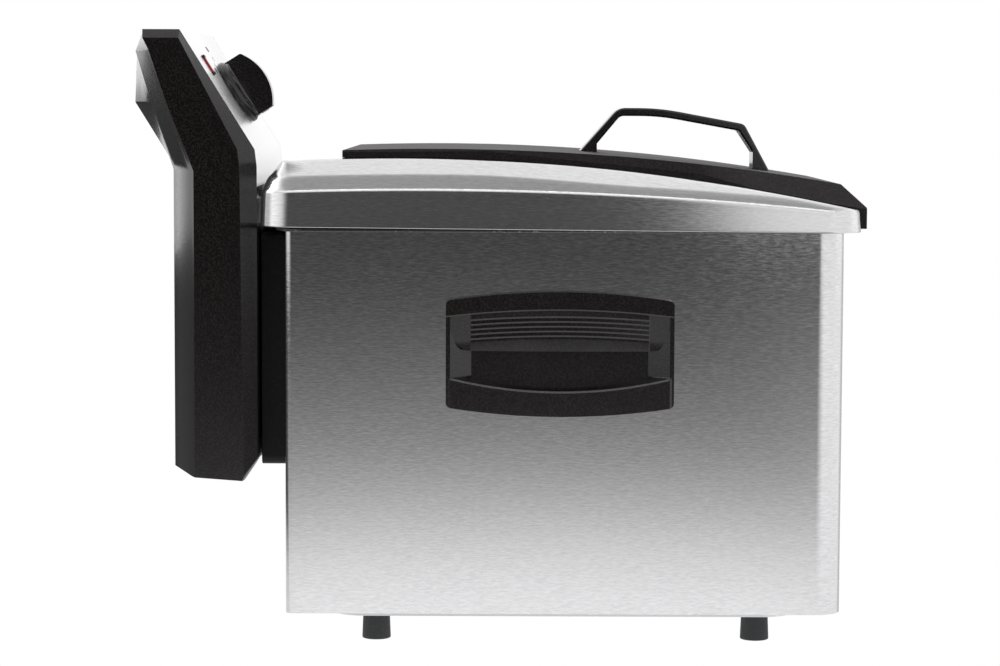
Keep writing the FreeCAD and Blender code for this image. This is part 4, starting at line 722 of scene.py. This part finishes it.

# %% [markdown]
# The head, trim and handles are black plastic with pale flecks in it and a fine spark-eroded grain. The
# flecks are bright spots of colour, the grain is a little relief, and the edges are a shade lighter, partly
# for wear and partly as a painted highlight for the line of light that a rounded edge catches. The lid's
# trim is the same plastic from a duller mould, so it shines less. Enamel, rubber and the red lens are made
# by the same recipe with other values.

# %% Recipe for plastic
grain_depth = 0.3 * mm
coat_roughness = 0.06
# Gain and lift of the edge colour, which is partly wear and partly a painted highlight along the edges.
mould_shade, edge_wear_and_highlight_gain, edge_wear_and_highlight_lift = 0.8, 1.3, 0.002


def plastic(name, colour, fleck, rough, relief, share=0.05, fleck_scale=1100, coat=0.0, gleam=0.5):
    """Moulded plastic with flecks, grain, and edges lightened partly by wear and partly by a painted
    highlight.
    """
    finish, tree, shader = new_finish(name, Coat_Weight=coat, Coat_Roughness=coat_roughness,
                                      Specular_IOR_Level=gleam)
    grain = use_group(tree, fleck_group, (-800, 100), Fleck_Scale=fleck_scale, Fleck_Share=share)
    cloud = use_group(tree, cloud_group, (-800, -150), Size=30.0)
    edges = use_group(tree, edge_group, (-800, -350))
    clouded = tint(tree, cloud.outputs["Cloud"], scaled(colour, mould_shade), colour, (-550, 350))
    # The edges are made lighter: partly wear, partly a painted highlight for the light that a rounded edge
    # catches.
    edge_wear_and_highlight = scaled(colour, edge_wear_and_highlight_gain, edge_wear_and_highlight_lift)
    edge_lightened = tint(tree, edges.outputs["Edges"], clouded, edge_wear_and_highlight, (-400, 350))
    flecked = tint(tree, grain.outputs["Flecks"], edge_lightened, fleck)
    wire(tree, (flecked, shader.inputs["Base Color"]))
    grade(tree, grain.outputs["Grain"], shader.inputs["Roughness"], rough)
    emboss(tree, grain.outputs["Grain"], shader, relief, grain_depth)
    return finish


# %% Plastic and enamel finishes
warm_black, pale_fleck, speckle_scale = (0.0036, 0.0025, 0.0025), (0.023, 0.0170, 0.0168), 1800
finishes["speckled_plastic"] = plastic("speckled_plastic", warm_black, pale_fleck, rough=(0.12, 0.22),
                                       relief=0.08, share=0.5, fleck_scale=speckle_scale, coat=0.15)
trim_plastic = plastic("trim_plastic", warm_black, pale_fleck, rough=(0.45, 0.6), relief=0.12,
                       share=0.5, fleck_scale=speckle_scale, gleam=0.2)
finishes["black_plastic"] = plastic("black_plastic", (0.0040, 0.0038, 0.0036), (0.016, 0.015, 0.014),
                                    rough=(0.40, 0.55), relief=0.15, share=0.06, gleam=0.25)
finishes["bowl_enamel"] = plastic("bowl_enamel", (0.030, 0.031, 0.033), (0.16, 0.165, 0.17),
                                  rough=(0.22, 0.34), relief=0.05, share=0.12, fleck_scale=700, coat=0.35)
for slot, colour, fleck, share, rough, relief in (
        ("gloss_black", (0.008, 0.008, 0.009), (0.02, 0.02, 0.02), 0.03, (0.16, 0.26), 0.03),
        ("foot_rubber", (0.028, 0.029, 0.031), (0.05, 0.05, 0.05), 0.05, (0.62, 0.78), 0.25),
        ("pale_plastic", (0.62, 0.58, 0.48), (0.66, 0.62, 0.52), 0.05, (0.40, 0.55), 0.10),
        ("red_button", (0.42, 0.012, 0.010), (0.50, 0.03, 0.03), 0.03, (0.22, 0.34), 0.05),
        ("red_lens", (0.30, 0.010, 0.016), (0.42, 0.03, 0.03), 0.05, (0.10, 0.18), 0.02),
        ("lamp_glass", (0.70, 0.50, 0.40), (0.75, 0.55, 0.45), 0.02, (0.06, 0.12), 0.01)):
    finishes[slot] = plastic(slot, colour, fleck, rough, relief, share)
print("finishes:", len(finishes), "slots dressed")

# %% [markdown]
# Most sheet and moulded parts already have their right shape in the solids, but every edge there
# is knife sharp. Real edges are rounded and catch a thin line of light. So each of these gets a
# copy with its triangles merged and a small bevel, and the copy stands for the solid. The bevel
# is chosen by how the part is made: sheet is folded tight, mouldings are rounder, and bent tubes
# and wires have no edges, so they are only shaded smooth.

# %% Helpers for soft copies
merge_reach = 0.01 * mm
flat_degrees = 0.4
tube_crisp = 32


def copy_of(node):
    """A copy of a solid with its loose triangles merged and its flat faces made whole."""
    piece = bpy.data.objects.new(node + "_soft", nodes[node].data.copy())
    bpy.context.scene.collection.objects.link(piece)
    piece.data.materials.clear()
    open_mesh(piece)
    bpy.ops.mesh.select_all(action="SELECT")
    bpy.ops.mesh.remove_doubles(threshold=merge_reach)
    bpy.ops.mesh.dissolve_limited(angle_limit=math.radians(flat_degrees))
    bpy.ops.object.mode_set(mode="OBJECT")
    return piece


def soften_node(node, width, finish=None, segments=2):
    """Replaces a solid by its copy with rounded edges, or shaded smooth where the width is 0."""
    piece = copy_of(node)
    if width:
        round_edges(piece, width, segments)
    else:
        smooth(piece, tube_crisp)
    slot = nodes[node].data.materials[0].name
    return settle(piece, node + "_soft", nodes[node]["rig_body"], slot, finish or finishes[slot], node)


# %% Soft copies of the solids
for node, width in (("outer_casing", 0.2), ("base_plate", 0.3), ("rear_bracket", 0.7), ("oil_bowl", 0.5),
                    ("head_shell", 0.9), ("head_front_cover", 0.6), ("knob_cap", 0.6), ("knob_skirt", 0.4),
                    ("foot_front_left", 0.6), ("foot_front_right", 0.6), ("foot_rear_left", 0.6),
                    ("foot_rear_right", 0.6), ("reset_button", 0.3), ("cord_gland", 0.5),
                    ("element_bridge", 0.3), ("bulb_clips", 0.2), ("thermostat", 0.4),
                    ("thermal_cutout", 0.4), ("interlock_switch", 0.4), ("terminal_block", 0.4),
                    ("basket_handle_socket", 0.5), ("indicator_lens", 0.2), ("heating_element", 0),
                    ("thermostat_bulb", 0), ("cutout_bulb", 0), ("basket_rim", 0), ("basket_supports", 0),
                    ("element_terminals", 0.2), ("indicator_lamp", 0.2), ("thermostat_spindle", 0.2),
                    ("foot_screws", 0.3), ("handle_screws", 0.3), ("bracket_screws", 0.3),
                    ("head_cover_screws", 0.3), ("lid_screws", 0.3)):
    soften_node(node, width)
soften_node("face_plate", 0.2, plate_steel)
soften_node("lid_trim", 0.7, trim_plastic)
soften_node("lid_handle", 1.0, finishes["speckled_plastic"], segments=3)

# %% [markdown]
# The lid is pressed from one sheet, so all its bends are soft and run on into each other: out of
# the upright skirt, over a steep band, over a flatter band and onto the arched top. Two planes
# meet in each crease, and taking the lower of both with a rounded corner gives the press's bend.
# Along the length, the rim and the top are two arcs with their peaks behind the middle.

# %% Sizes of the pressed sheet
lid_low, lid_high = (Vector(corner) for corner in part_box("lid_shell"))
lid_middle = (lid_low + lid_high) / 2
lid_half = (lid_high - lid_low) / 2
lid_corner = 20 * mm
crown_height = 17.7 * mm
skirt_top = lid_high.z - crown_height
bend_radius, bend_drop, bend_reach = 5 * mm, 1.75 * mm, 1.09 * mm
steep_slope, flat_slope = 1.2516, 0.6244
rear_steepness, front_steepness = 1.7, 4.0
rim_peak, rim_radius = -37.75 * mm, 2.3
top_peak, top_radius = -52.75 * mm, 1.2
crease_rear, crease_front = 6.4 * mm, 3.7 * mm
crease_start, crease_run = -20 * mm, 110 * mm
crease_blend, top_blend = 1.0 * mm, 1.6 * mm
print("lid:", round(lid_high.z / mm, 1), "mm high at its top,", round(skirt_top / mm, 1), "at the rim")

# %% Height of the pressed sheet
def arc_drop(x, peak, radius):
    """How far an arc has fallen at a distance from its peak."""
    return radius - math.sqrt(radius ** 2 - (x - peak) ** 2)


def soft_min(first, second, blend):
    """The lower of two heights, with the corner between them rounded."""
    near = max(blend - abs(first - second), 0.0)
    return min(first, second) - near * near / (4 * blend)


def crease_inset(x):
    """How far in the crease lies. Towards the front it runs closer to the rim."""
    share = min(max((x - crease_start) / crease_run, 0.0), 1.0)
    return crease_rear - (crease_rear - crease_front) * share * share * (3 - 2 * share)


def way_in(x, y):
    """How far in from the rim a point lies, stretched where the ends are steeper than the sides."""
    past = (abs(x - lid_middle.x) - lid_half.x + lid_corner, abs(y) - lid_half.y + lid_corner)
    out = Vector((max(past[0], 0.0), max(past[1], 0.0)))
    inward = lid_corner - out.length - min(max(past), 0.0)
    lean = out.x / out.length if out.length else float(past[0] > past[1])
    steepness = rear_steepness if x < lid_middle.x else front_steepness
    return max(inward, 0.0) * (1 + (steepness - 1) * lean ** 2)


def pressed_height(x, y):
    """Height of the lid's outside over a point."""
    inward = way_in(x, y)
    bend = bend_radius - min(inward, bend_radius)
    rounded = -bend_drop + math.sqrt(bend_radius ** 2 - bend ** 2)
    flat = crease_inset(x) * steep_slope + (inward - crease_inset(x)) * flat_slope
    side = soft_min(steep_slope * inward, flat, crease_blend)
    if inward < bend_reach:
        side = rounded
    side += skirt_top - arc_drop(x, rim_peak, rim_radius)
    return soft_min(side, lid_high.z - arc_drop(x, top_peak, top_radius), top_blend)


# %% [markdown]
# A grid is laid out with its lines close together where the sheet bends, and every point of it is
# lifted to the height that the press gives it there. The rows keep clear of the corners' rounding
# by growing shorter towards the sides. Two rows lie where the rear notch is cut later.

# %% Lid grid
bend_lines = [0, 0.04, 0.16, 0.36, 0.64, 1.09, 2.4, 4.0, 5.0, 5.7, 6.3, 6.9, 7.6, 9, 12, 15.5,
              18, 19.5, 21, 22.5, 24, 26]
bend_lines = [line * mm for line in bend_lines]
bridge_high = Vector(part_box("element_bridge")[1])
notch_play = 2 * mm
notch_half = bridge_high.y + notch_play
side_lines = bend_lines + [40 * mm, lid_half.y - notch_half, 100 * mm]
lid_rows = [-lid_half.y + line for line in side_lines] + [0.0]
lid_rows += [lid_half.y - line for line in side_lines[::-1]]
rear_lines = [line / rear_steepness for line in bend_lines]
front_lines = [line / front_steepness for line in bend_lines]
open_run = 2 * lid_half.x - rear_lines[-1] - front_lines[-1]
run_count = 38
lid_columns = rear_lines + [rear_lines[-1] + open_run * step / run_count for step in range(1, run_count)]
lid_columns += [2 * lid_half.x - line for line in front_lines[::-1]]


def unit_grid(columns, rows):
    """A grid one unit wide with as many lines as are given."""
    start_clean()
    bpy.ops.mesh.primitive_grid_add(x_subdivisions=len(columns) - 1, y_subdivisions=len(rows) - 1, size=1)
    return bpy.context.object


def line_at(place, lines):
    """Which line of a unit grid runs through a place."""
    return round((place + 0.5) * (len(lines) - 1))


lid = unit_grid(lid_columns, lid_rows)
for vertex in lid.data.vertices:
    share = lid_columns[line_at(vertex.co.x, lid_columns)] / (2 * lid_half.x)
    y = lid_rows[line_at(vertex.co.y, lid_rows)]
    past = max(abs(y) - lid_half.y + lid_corner, 0.0)
    shorter = lid_corner - math.sqrt(max(lid_corner ** 2 - past ** 2, 0.0))
    x = lid_middle.x - lid_half.x + shorter + share * 2 * (lid_half.x - shorter)
    vertex.co = (x, y, pressed_height(x, y))
print("lid grid:", len(lid_columns), "by", len(lid_rows), "lines")

# %% [markdown]
# The skirt is pulled down from the rim and ends in a hem: the sheet flares a little, turns under
# and runs back inside. Each step of the hem is one extrusion, which is made wider or narrower and
# laid flat at its level, both in millimetres. The hem rises a little towards the rear, so it is
# tilted last.

# %% Skirt and hem
skirt_step, hem_step = 0.8 * mm, 0.1 * mm
hem_steps = ((0.57, -1.5), (0.02, -2.0), (0.0, -2.3), (-0.1, -2.5), (-1.1, -2.5), (-0.3, -2.2),
             (0.0, 0.2), (-9.5, 0.2))
hem_height = 0.5 * mm
hem_lift_front, hem_lift_rear = 1.0 * mm, 3.4 * mm
open_mesh(lid)
rim_edges = pick(lid, "EDGE", lambda e: e.is_boundary)
bpy.ops.mesh.extrude_edges_move(TRANSFORM_OT_translate={"value": (0, 0, -skirt_step)})
for wider, level in hem_steps:
    bpy.ops.mesh.extrude_edges_move(TRANSFORM_OT_translate={"value": (0, 0, -hem_step)})
    bpy.ops.transform.resize(value=(1 + wider * mm / lid_half.x, 1 + wider * mm / lid_half.y, 0),
                             center_override=(lid_middle.x, 0, lid_low.z + level * mm))
bpy.ops.object.mode_set(mode="OBJECT")
for vertex in lid.data.vertices:
    if vertex.co.z < lid_low.z + hem_height:
        share = (lid_high.x - vertex.co.x) / (2 * lid_half.x)
        vertex.co.z += hem_lift_front + (hem_lift_rear - hem_lift_front) * share
print("lid rim:", rim_edges, "edges")

# %% [markdown]
# The element's bridge comes in over the rear rim, so the skirt has a notch there. Deleting whole
# faces keeps its edges straight, because two rows of the grid were laid along them. Only then the
# sheet is subdivided once, which softens the bends, and gets its thickness.

# %% Notch, wall and finish of the lid
notch_depth = 13 * mm
lid_wall = 0.9 * mm
lid_crisp = 40


def in_notch(face):
    """Whether a face stands where the lid must clear the element's bridge."""
    middle = face.calc_center_median()
    return (abs(middle.y) < notch_half and middle.x < lid_low.x + notch_depth
            and middle.z < bridge_high.z + notch_play)


open_mesh(lid)
print("notch:", pick(lid, "FACE", in_notch), "faces")
bpy.ops.mesh.delete(type="FACE")
bpy.ops.object.mode_set(mode="OBJECT")
add_modifier(lid, "SUBSURF", levels=1, render_levels=1)
add_modifier(lid, "SOLIDIFY", thickness=lid_wall, offset=-1)
smooth(lid, lid_crisp)
settle(lid, "lid_pressing", "lid", "casing_steel", lid_steel, "lid_shell")

# %% [markdown]
# Each carrying handle is one black moulding let into the side: a bezel bowed at top and bottom, a
# ribbed finger plate that slopes inwards, a cup below it with sloping ends, and a raised lip. A
# grid with one row or column per line of the moulding is bent to those lines, and whole patches
# are then pushed in or pulled out. That keeps every line continuous from end to end.

# %% Columns of the handle
grip_low, grip_high = (Vector(corner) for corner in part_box("side_handle_right"))
grip_middle = (grip_low.x + grip_high.x) / 2
grip_half = (grip_high.x - grip_low.x) / 2
rim = 2.4 * mm
plate_corner = 12 * mm
rib_half, rib_end = 51 * mm, 0.2 * mm
inner_half = grip_half - rim
straight_half = inner_half - plate_corner
straight_count = 8


def round_corner(edge, radius, turns):
    """Places of the columns round a corner that ends at an edge."""
    return [edge - radius * (1 - math.sin(math.radians(turn))) for turn in turns]


half_columns = [straight_half * step / straight_count for step in range(1, straight_count + 1)]
half_columns += round_corner(inner_half, plate_corner, (90, 72, 54, 36, 18))
half_columns += round_corner(grip_half, rim, (30, 55, 75, 90))
half_columns = sorted(half_columns + [rib_half - rib_end, rib_half + rib_end])
grip_columns = [-x for x in reversed(half_columns)] + [0.0] + half_columns
print("handle columns:", len(grip_columns))

# %% [markdown]
# All lines of the moulding are bowed, so each is written as a height that depends on the distance
# from the middle. One short function then serves every line, and the ribs stay even however many
# there are.

# %% Lines of the handle
outline_bow = 5.2 * mm
plate_low = 0.172
lip_middle, lip_end, lip_edge = 0.1497, 0.1578, 1.1 * mm
bar_middle, bar_end, bar_edge = 0.1958, 0.1918, 0.8 * mm
rib_foot, rib_bow, rib_pitch, rib_width, rib_count = 0.1786, 3.4 * mm, 2.8 * mm, 1.75 * mm, 6
rib_spare = 0.2 * mm


def bowed(middle, end):
    """A line given by its height at the middle and at the ends."""
    return lambda x: middle + (end - middle) * (x / grip_half) ** 2


def rounded_off(x):
    """How far the outline draws in near its corners."""
    past = max(0.0, abs(x) - grip_half + rim)
    return rim - math.sqrt(max(0.0, rim ** 2 - past ** 2))


def plate_foot(x):
    """Lower edge of the finger plate, with rounded corners."""
    past = min(max(0.0, abs(x) - straight_half), plate_corner)
    return plate_low + plate_corner - math.sqrt(plate_corner ** 2 - past ** 2)


def rib_line(level):
    """One edge of a rib. Outside the ribs the lines crowd together above the plate's lower edge."""
    spare = rib_spare * (1 + (level - rib_foot) / mm)
    return lambda x: max(bowed(level, level - rib_bow)(x), plate_foot(x) + spare)


# %% Rows of the handle
lip_line, bar_line = bowed(lip_middle, lip_end), bowed(bar_middle, bar_end)
low_line = bowed(grip_low.z, grip_low.z + outline_bow)
high_line = bowed(grip_high.z, grip_high.z - outline_bow)
grip_rows = [lambda x: low_line(x) + rounded_off(x), lambda x: lip_line(x) - lip_edge, lip_line, plate_foot]
lip_row, plate_row = 2, 3
foot_rows = []
for rib in range(rib_count):
    foot_rows.append(len(grip_rows))
    grip_rows.append(rib_line(rib_foot + rib * rib_pitch))
    if rib < rib_count - 1:
        grip_rows.append(rib_line(rib_foot + rib * rib_pitch + rib_width))
top_row = len(grip_rows)
grip_rows += [bar_line, lambda x: bar_line(x) + bar_edge, lambda x: high_line(x) - rounded_off(x)]
print("handle rows:", len(grip_rows), "with ribs from row", foot_rows[0], "to", top_row)

# %% [markdown]
# Now the grid takes its shape. Most of it lies in the plane of the bezel, and only the lip, the
# plate's lower edge, the ribs and the bar on top stand a little proud of it.

# %% Grid of the near handle
casing_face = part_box("outer_casing")[0][1]
bezel_height = 5 * mm
bezel_face = casing_face - bezel_height
lip_rise, bar_rise, rib_rise, foot_rise = 0.6 * mm, 0.4 * mm, 0.45 * mm, 0.9 * mm


def proud_of_bezel(x, row):
    """How far a point of the grid stands out."""
    if row < lip_row and abs(x) <= inner_half:
        return lip_rise
    if row == plate_row:
        return foot_rise * max(0.0, 1 - (x / rib_half) ** 2)
    if row in foot_rows and abs(x) < rib_half:
        return rib_rise
    return bar_rise if row > top_row else 0.0


grip = unit_grid(grip_columns, grip_rows)
for vertex in grip.data.vertices:
    x = grip_columns[line_at(vertex.co.x, grip_columns)]
    row = line_at(vertex.co.y, grip_rows)
    vertex.co = (grip_middle + x, bezel_face - proud_of_bezel(x, row), grip_rows[row](x))
print("handle grid:", len(grip.data.polygons), "faces")

# %% [markdown]
# The recess is made in the order in which a mould would be cut. The well goes in square, the
# finger plate is then tilted about its top edge, and what came out too deep is pressed flat. The
# cup below the plate is pushed in last and made shorter at its back, so its ends slope.

# %% Helpers for the recess
well_step, plate_depth, plate_slope = 0.8 * mm, 4.2 * mm, math.radians(10)
cup_step, cup_depth, cup_end, cup_level, cup_draft = 1 * mm, 8.6 * mm, 12 * mm, 0.1625, 0.97
lip_reach, casing_overlap, facing_out = 1.5 * mm, 0.4 * mm, 0.3


def between_rows(face, low_row, high_row):
    """Whether a face that looks outwards lies inside the bezel between two rows."""
    middle = face.calc_center_median()
    x = middle.x - grip_middle
    inside = abs(x) < inner_half and abs(face.normal.y) > facing_out
    return inside and grip_rows[low_row](x) < middle.z < grip_rows[high_row](x)


def deeper_than(vertex, depth):
    """Whether a point inside the recess lies deeper than a depth."""
    return not vertex.is_boundary and vertex.co.y > bezel_face + depth


def under_lip(vertex):
    """Whether a point of the well lies along the lip."""
    return deeper_than(vertex, well_step) and vertex.co.z < lip_line(vertex.co.x - grip_middle) + lip_reach


def press_flat(depth):
    """Lays the picked points in one plane behind the bezel."""
    bpy.ops.transform.resize(value=(1, 0, 1), center_override=(0, bezel_face + depth, 0))


# %% Recess of the near handle
open_mesh(grip)
pick(grip, "EDGE", lambda e: e.is_boundary)
bpy.ops.mesh.extrude_edges_move(TRANSFORM_OT_translate={"value": (0, bezel_height + casing_overlap, 0)})
plate_faces = pick(grip, "FACE", lambda f: between_rows(f, lip_row, top_row))
bpy.ops.mesh.extrude_region_move(TRANSFORM_OT_translate={"value": (0, well_step, 0)})
bpy.ops.transform.rotate(value=-plate_slope, orient_axis="X",
                         center_override=(0, bezel_face + well_step, grip_rows[top_row](0)))
pick(grip, "VERT", lambda v: deeper_than(v, plate_depth))
press_flat(plate_depth)
pick(grip, "VERT", under_lip)
press_flat(well_step)
cup_faces = pick(grip, "FACE", lambda f: between_rows(f, lip_row, plate_row))
bpy.ops.mesh.extrude_region_move(TRANSFORM_OT_translate={"value": (0, cup_step, 0)})
bpy.ops.transform.resize(value=(1 - cup_end / inner_half, 0, cup_draft),
                         center_override=(grip_middle, bezel_face + cup_depth, cup_level))
bpy.ops.object.mode_set(mode="OBJECT")
depths = [round((v.co.y - bezel_face) / mm, 1) for v in grip.data.vertices]
print("handle patches:", plate_faces, cup_faces, "from", min(depths), "to", max(depths), "mm deep")

# %% [markdown]
# The sheet of faces gets the wall of a moulding and a narrow rounding on all its lines. The far
# handle is the same moulding, so it is a copy turned half round about the middle of the fryer.

# %% Wall, soft edges and the far handle
grip_wall = 1.6 * mm
add_modifier(grip, "SOLIDIFY", thickness=grip_wall, offset=-1)
round_edges(grip, 0.25, degrees=22, crisp=22)
far_grip = twin(grip)
work_on(far_grip)
bpy.ops.transform.rotate(value=math.pi, orient_axis="Z", center_override=(grip_middle, 0, 0))
for piece, side in ((grip, "right"), (far_grip, "left")):
    settle(piece, "carrying_handle_" + side, "casing", "speckled_plastic", finishes["speckled_plastic"],
           "side_handle_" + side)

# %% [markdown]
# Small things sit on the sloping face plate. The plate's own directions come from the knob's axle:
# square to the plate, down the slope, and sideways. With those three a piece can be drawn flat
# and then laid on the slope.

# %% Directions of the face plate
knob_joint = next(j for j in frame["joints"] if j["name"] == "knob_turn")
plate_normal = Vector(knob_joint["axis"])
down_slope = Vector((plate_normal.z, 0, -plate_normal.x))
knob_centre = Vector(knob_joint["pos_m"])
to_plate = Matrix((down_slope, Vector((0, 1, 0)), plate_normal)).transposed().to_4x4()


def lay_on_plate(piece, down, side, out):
    """Moves a piece drawn flat at the origin to a place measured from the knob's centre."""
    place = knob_centre + down_slope * down + Vector((0, side, 0)) + plate_normal * out
    piece.matrix_world = Matrix.Translation(place) @ to_plate
    work_on(piece)
    bpy.ops.object.transform_apply(location=True, rotation=True, scale=True)


def slab(size):
    """A block of a given size at the origin."""
    start_clean()
    bpy.ops.mesh.primitive_cube_add(size=1)
    piece = bpy.context.object
    piece.scale = size
    bpy.ops.object.transform_apply(location=False, rotation=False, scale=True)
    return piece


print("plate leans", round(math.degrees(math.acos(plate_normal.x)), 1), "degrees")

# %% [markdown]
# The indicator is a red strip held at each end by a glossy black cap. One cap is a block whose top
# is drawn in like a moulding that has to leave its mould, and the other cap is a copy of it.

# %% Indicator caps
lens_low, lens_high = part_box("indicator_lens")
lens_side = (lens_low[1] + lens_high[1]) / 2
lens_level, lens_half = 0.3345, 6.5 * mm
lens_down = (lens_level - knob_centre.z) / down_slope.z
cap_length, cap_width, cap_height = 2.4 * mm, 5.2 * mm, 2.0 * mm
cap_taper = (0.75, 0.85, 1)
cap_overhang, cap_rise = 0.5 * mm, 0.7 * mm
facing = 0.9
cap = slab((cap_length, cap_width, cap_height))
open_mesh(cap)
pick(cap, "FACE", lambda f: f.normal.z > facing)
bpy.ops.transform.resize(value=cap_taper)
bpy.ops.object.mode_set(mode="OBJECT")
round_edges(cap, 0.25)
caps = [cap, twin(cap)]
cap_shift = lens_half - cap_length / 2 + cap_overhang
lay_on_plate(caps[0], lens_down - cap_shift, lens_side, cap_rise)
lay_on_plate(caps[1], lens_down + cap_shift, lens_side, cap_rise)
settle(join(caps), "indicator_caps", "control_head", "gloss_black", finishes["gloss_black"])

# %% [markdown]
# Round the knob the plate carries a printed scale: strokes and temperatures in degrees. A long and
# a short stroke are thin slabs with softened ends, and copies of them are turned round the knob's
# centre. Ink is thin, so everything stands only a tenth of a millimetre proud.

# %% Printed strokes
ink_height = 0.12 * mm
stroke_from, stroke_width, stroke_round = 23.0 * mm, 0.7 * mm, 0.25 * mm
stroke_lengths = (3.4 * mm, 2.0 * mm)
scale_angles = [210 - 30 * step for step in range(9)]


def paint(name, roughness, cloud_size, dark, light):
    """A thin paint with a faint cloudiness."""
    finish, tree, shader = new_finish(name, Roughness=roughness)
    cloud = use_group(tree, cloud_group, (-600, 0), Size=cloud_size)
    wire(tree, (tint(tree, cloud.outputs["Cloud"], dark, light), shader.inputs["Base Color"]))
    return finish


def stroke_at(degrees, length):
    """Where a stroke lies round the knob's centre."""
    turn = Matrix.Rotation(math.radians(degrees + 90), 4, "Z")
    return turn @ Matrix.Translation((stroke_from + length / 2, 0, 0))


patterns = []
for length in stroke_lengths:
    pattern = slab((length, stroke_width, ink_height))
    open_mesh(pattern)
    pick(pattern, "EDGE", lambda e: abs(e.verts[0].co.z - e.verts[1].co.z) > ink_height / 2)
    bpy.ops.mesh.bevel(offset=stroke_round, segments=2)
    bpy.ops.object.mode_set(mode="OBJECT")
    patterns.append(pattern)
marks = []
for step, degrees in enumerate(scale_angles):
    mark = twin(patterns[step % 2])
    mark.data.transform(stroke_at(degrees, stroke_lengths[step % 2]))
    lay_on_plate(mark, 0, 0, ink_height / 2)
    marks.append(mark)
for pattern in patterns:
    bpy.data.objects.remove(pattern)
print("strokes:", len(marks))

# %% [markdown]
# The numbers are text made into a mesh, one for every second stroke. They all stand upright for
# somebody in front of the fryer, so each is only moved round the knob and not turned with it.

# %% Printed numbers
number_height, number_reach = 5.0 * mm, 31.5 * mm
for step, word in ((0, "0"), (2, "130"), (4, "150"), (6, "170"), (8, "190")):
    start_clean()
    bpy.ops.object.text_add()
    text = bpy.context.object.data
    text.body = word
    text.size = number_height
    text.align_x = "CENTER"
    text.align_y = "CENTER"
    text.extrude = ink_height / 2
    text.resolution_u = 4
    bpy.ops.object.convert(target="MESH")
    number = bpy.context.object
    number.data.transform(Matrix.Rotation(math.radians(90), 4, "Z"))
    turn = math.radians(scale_angles[step] + 90)
    lay_on_plate(number, number_reach * math.cos(turn), number_reach * math.sin(turn), ink_height / 2)
    marks.append(number)
ink = paint("scale_ink", 0.55, 300.0, dark=(0.09, 0.09, 0.09), light=(0.13, 0.13, 0.13))
settle(join(marks), "printed_scale", "control_head", "gloss_black", ink)

# %% [markdown]
# A white line on the knob tells where it points. It is let into the lower end of the knob's bar
# and runs over its top edge, so it can be read from above and from the side.

# %% Knob pointer
pointer_size = (0.5 * mm, 1.6 * mm, 5.0 * mm)
pointer_border, pointer_swell = 0.15 * mm, 0.1 * mm
pointer_down, pointer_out = 18.75 * mm, 10.5 * mm
pointer = slab(pointer_size)
open_mesh(pointer)
pick(pointer, "FACE", lambda f: f.normal.x > facing)
bpy.ops.mesh.inset(thickness=pointer_border, depth=pointer_swell)
bpy.ops.object.mode_set(mode="OBJECT")
round_edges(pointer, 0.1, segments=1)
lay_on_plate(pointer, pointer_down, 0, pointer_out)
white_paint = paint("pointer_paint", 0.4, 400.0, dark=(0.78, 0.78, 0.76), light=(0.88, 0.88, 0.86))
settle(pointer, "knob_pointer", "knob", "pale_plastic", white_paint)

# %% [markdown]
# The basket is woven wire. A grid makes its floor, and each corner is cut to a rounded outline by
# three straight cuts. The outline is then drawn up into a wall of small cells, and a Wireframe
# modifier turns every cell edge into a wire. A thick rim wire and two support wires, which are
# solids, carry it.

# %% Floor of the basket
weave_pitch, weave_wire, weave_inset = 8 * mm, 1.5 * mm, 0.8 * mm
corner_round, corner_share = 22 * mm, 0.985
basket_low, basket_high = (Vector(corner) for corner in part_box("frying_basket"))
basket_middle = (basket_low + basket_high) / 2
basket_span = basket_high - basket_low - 2 * Vector((weave_inset, weave_inset, 0))
floor_level = basket_low.z + weave_wire / 2
start_clean()
bpy.ops.mesh.primitive_grid_add(x_subdivisions=round(basket_span.x / weave_pitch),
                                y_subdivisions=round(basket_span.y / weave_pitch), size=1,
                                location=(basket_middle.x, basket_middle.y, floor_level))
weave = bpy.context.object
weave.scale = (basket_span.x, basket_span.y, 1)
bpy.ops.object.transform_apply(location=True, rotation=True, scale=True)


def cut_corner(end, side, degrees):
    """Cuts the floor along one straight piece of a rounded corner."""
    turn = math.radians(degrees)
    outward = Vector((end * math.cos(turn), side * math.sin(turn), 0))
    centre = Vector((basket_middle.x + end * (basket_span.x / 2 - corner_round),
                     basket_middle.y + side * (basket_span.y / 2 - corner_round), floor_level))
    open_mesh(weave)
    bpy.ops.mesh.select_all(action="SELECT")
    bpy.ops.mesh.bisect(plane_co=centre + outward * corner_round * corner_share, plane_no=outward,
                        clear_outer=True)


for end, side in ((-1, -1), (-1, 1), (1, -1), (1, 1)):
    for degrees in (15, 45, 75):
        cut_corner(end, side, degrees)
print("basket floor:", round(basket_span.x / mm), "by", round(basket_span.y / mm), "mm")

# %% [markdown]
# The wall could be modelled on its own, but drawn up from the outline of the floor its wires meet
# those of the floor at every cell. Points that the cuts left close together are merged first, so
# that no cell is too narrow for its wires.

# %% Wall and wires of the basket
cell_merge, rim_gap = 0.9 * mm, 1 * mm
weave_crisp = 60
layers = round((basket_high.z - floor_level) / weave_pitch)
layer_height = (basket_high.z - rim_gap - floor_level) / layers
open_mesh(weave)
bpy.ops.mesh.select_all(action="SELECT")
bpy.ops.mesh.remove_doubles(threshold=cell_merge)
pick(weave, "EDGE", lambda e: e.is_boundary)
for layer in range(layers):
    bpy.ops.mesh.extrude_edges_move(TRANSFORM_OT_translate={"value": (0, 0, layer_height)})
bpy.ops.object.mode_set(mode="OBJECT")
add_modifier(weave, "WIREFRAME", thickness=weave_wire, use_even_offset=False, use_relative_offset=False,
             use_boundary=True)
smooth(weave, weave_crisp)
settle(weave, "basket_weave", "basket", "basket_wire", finishes["basket_wire"], "frying_basket")

# %% [markdown]
# Last, the size of the dressed fryer is printed beside the size of its solids, which shows how far the
# finish stands out beyond them.

# %% Sizes
size_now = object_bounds()
for label, (low, high) in (("solids", cad_box), ("dressed", size_now)):
    print(label, [round((b - a) * 1000, 1) for a, b in zip(low, high)], "mm")
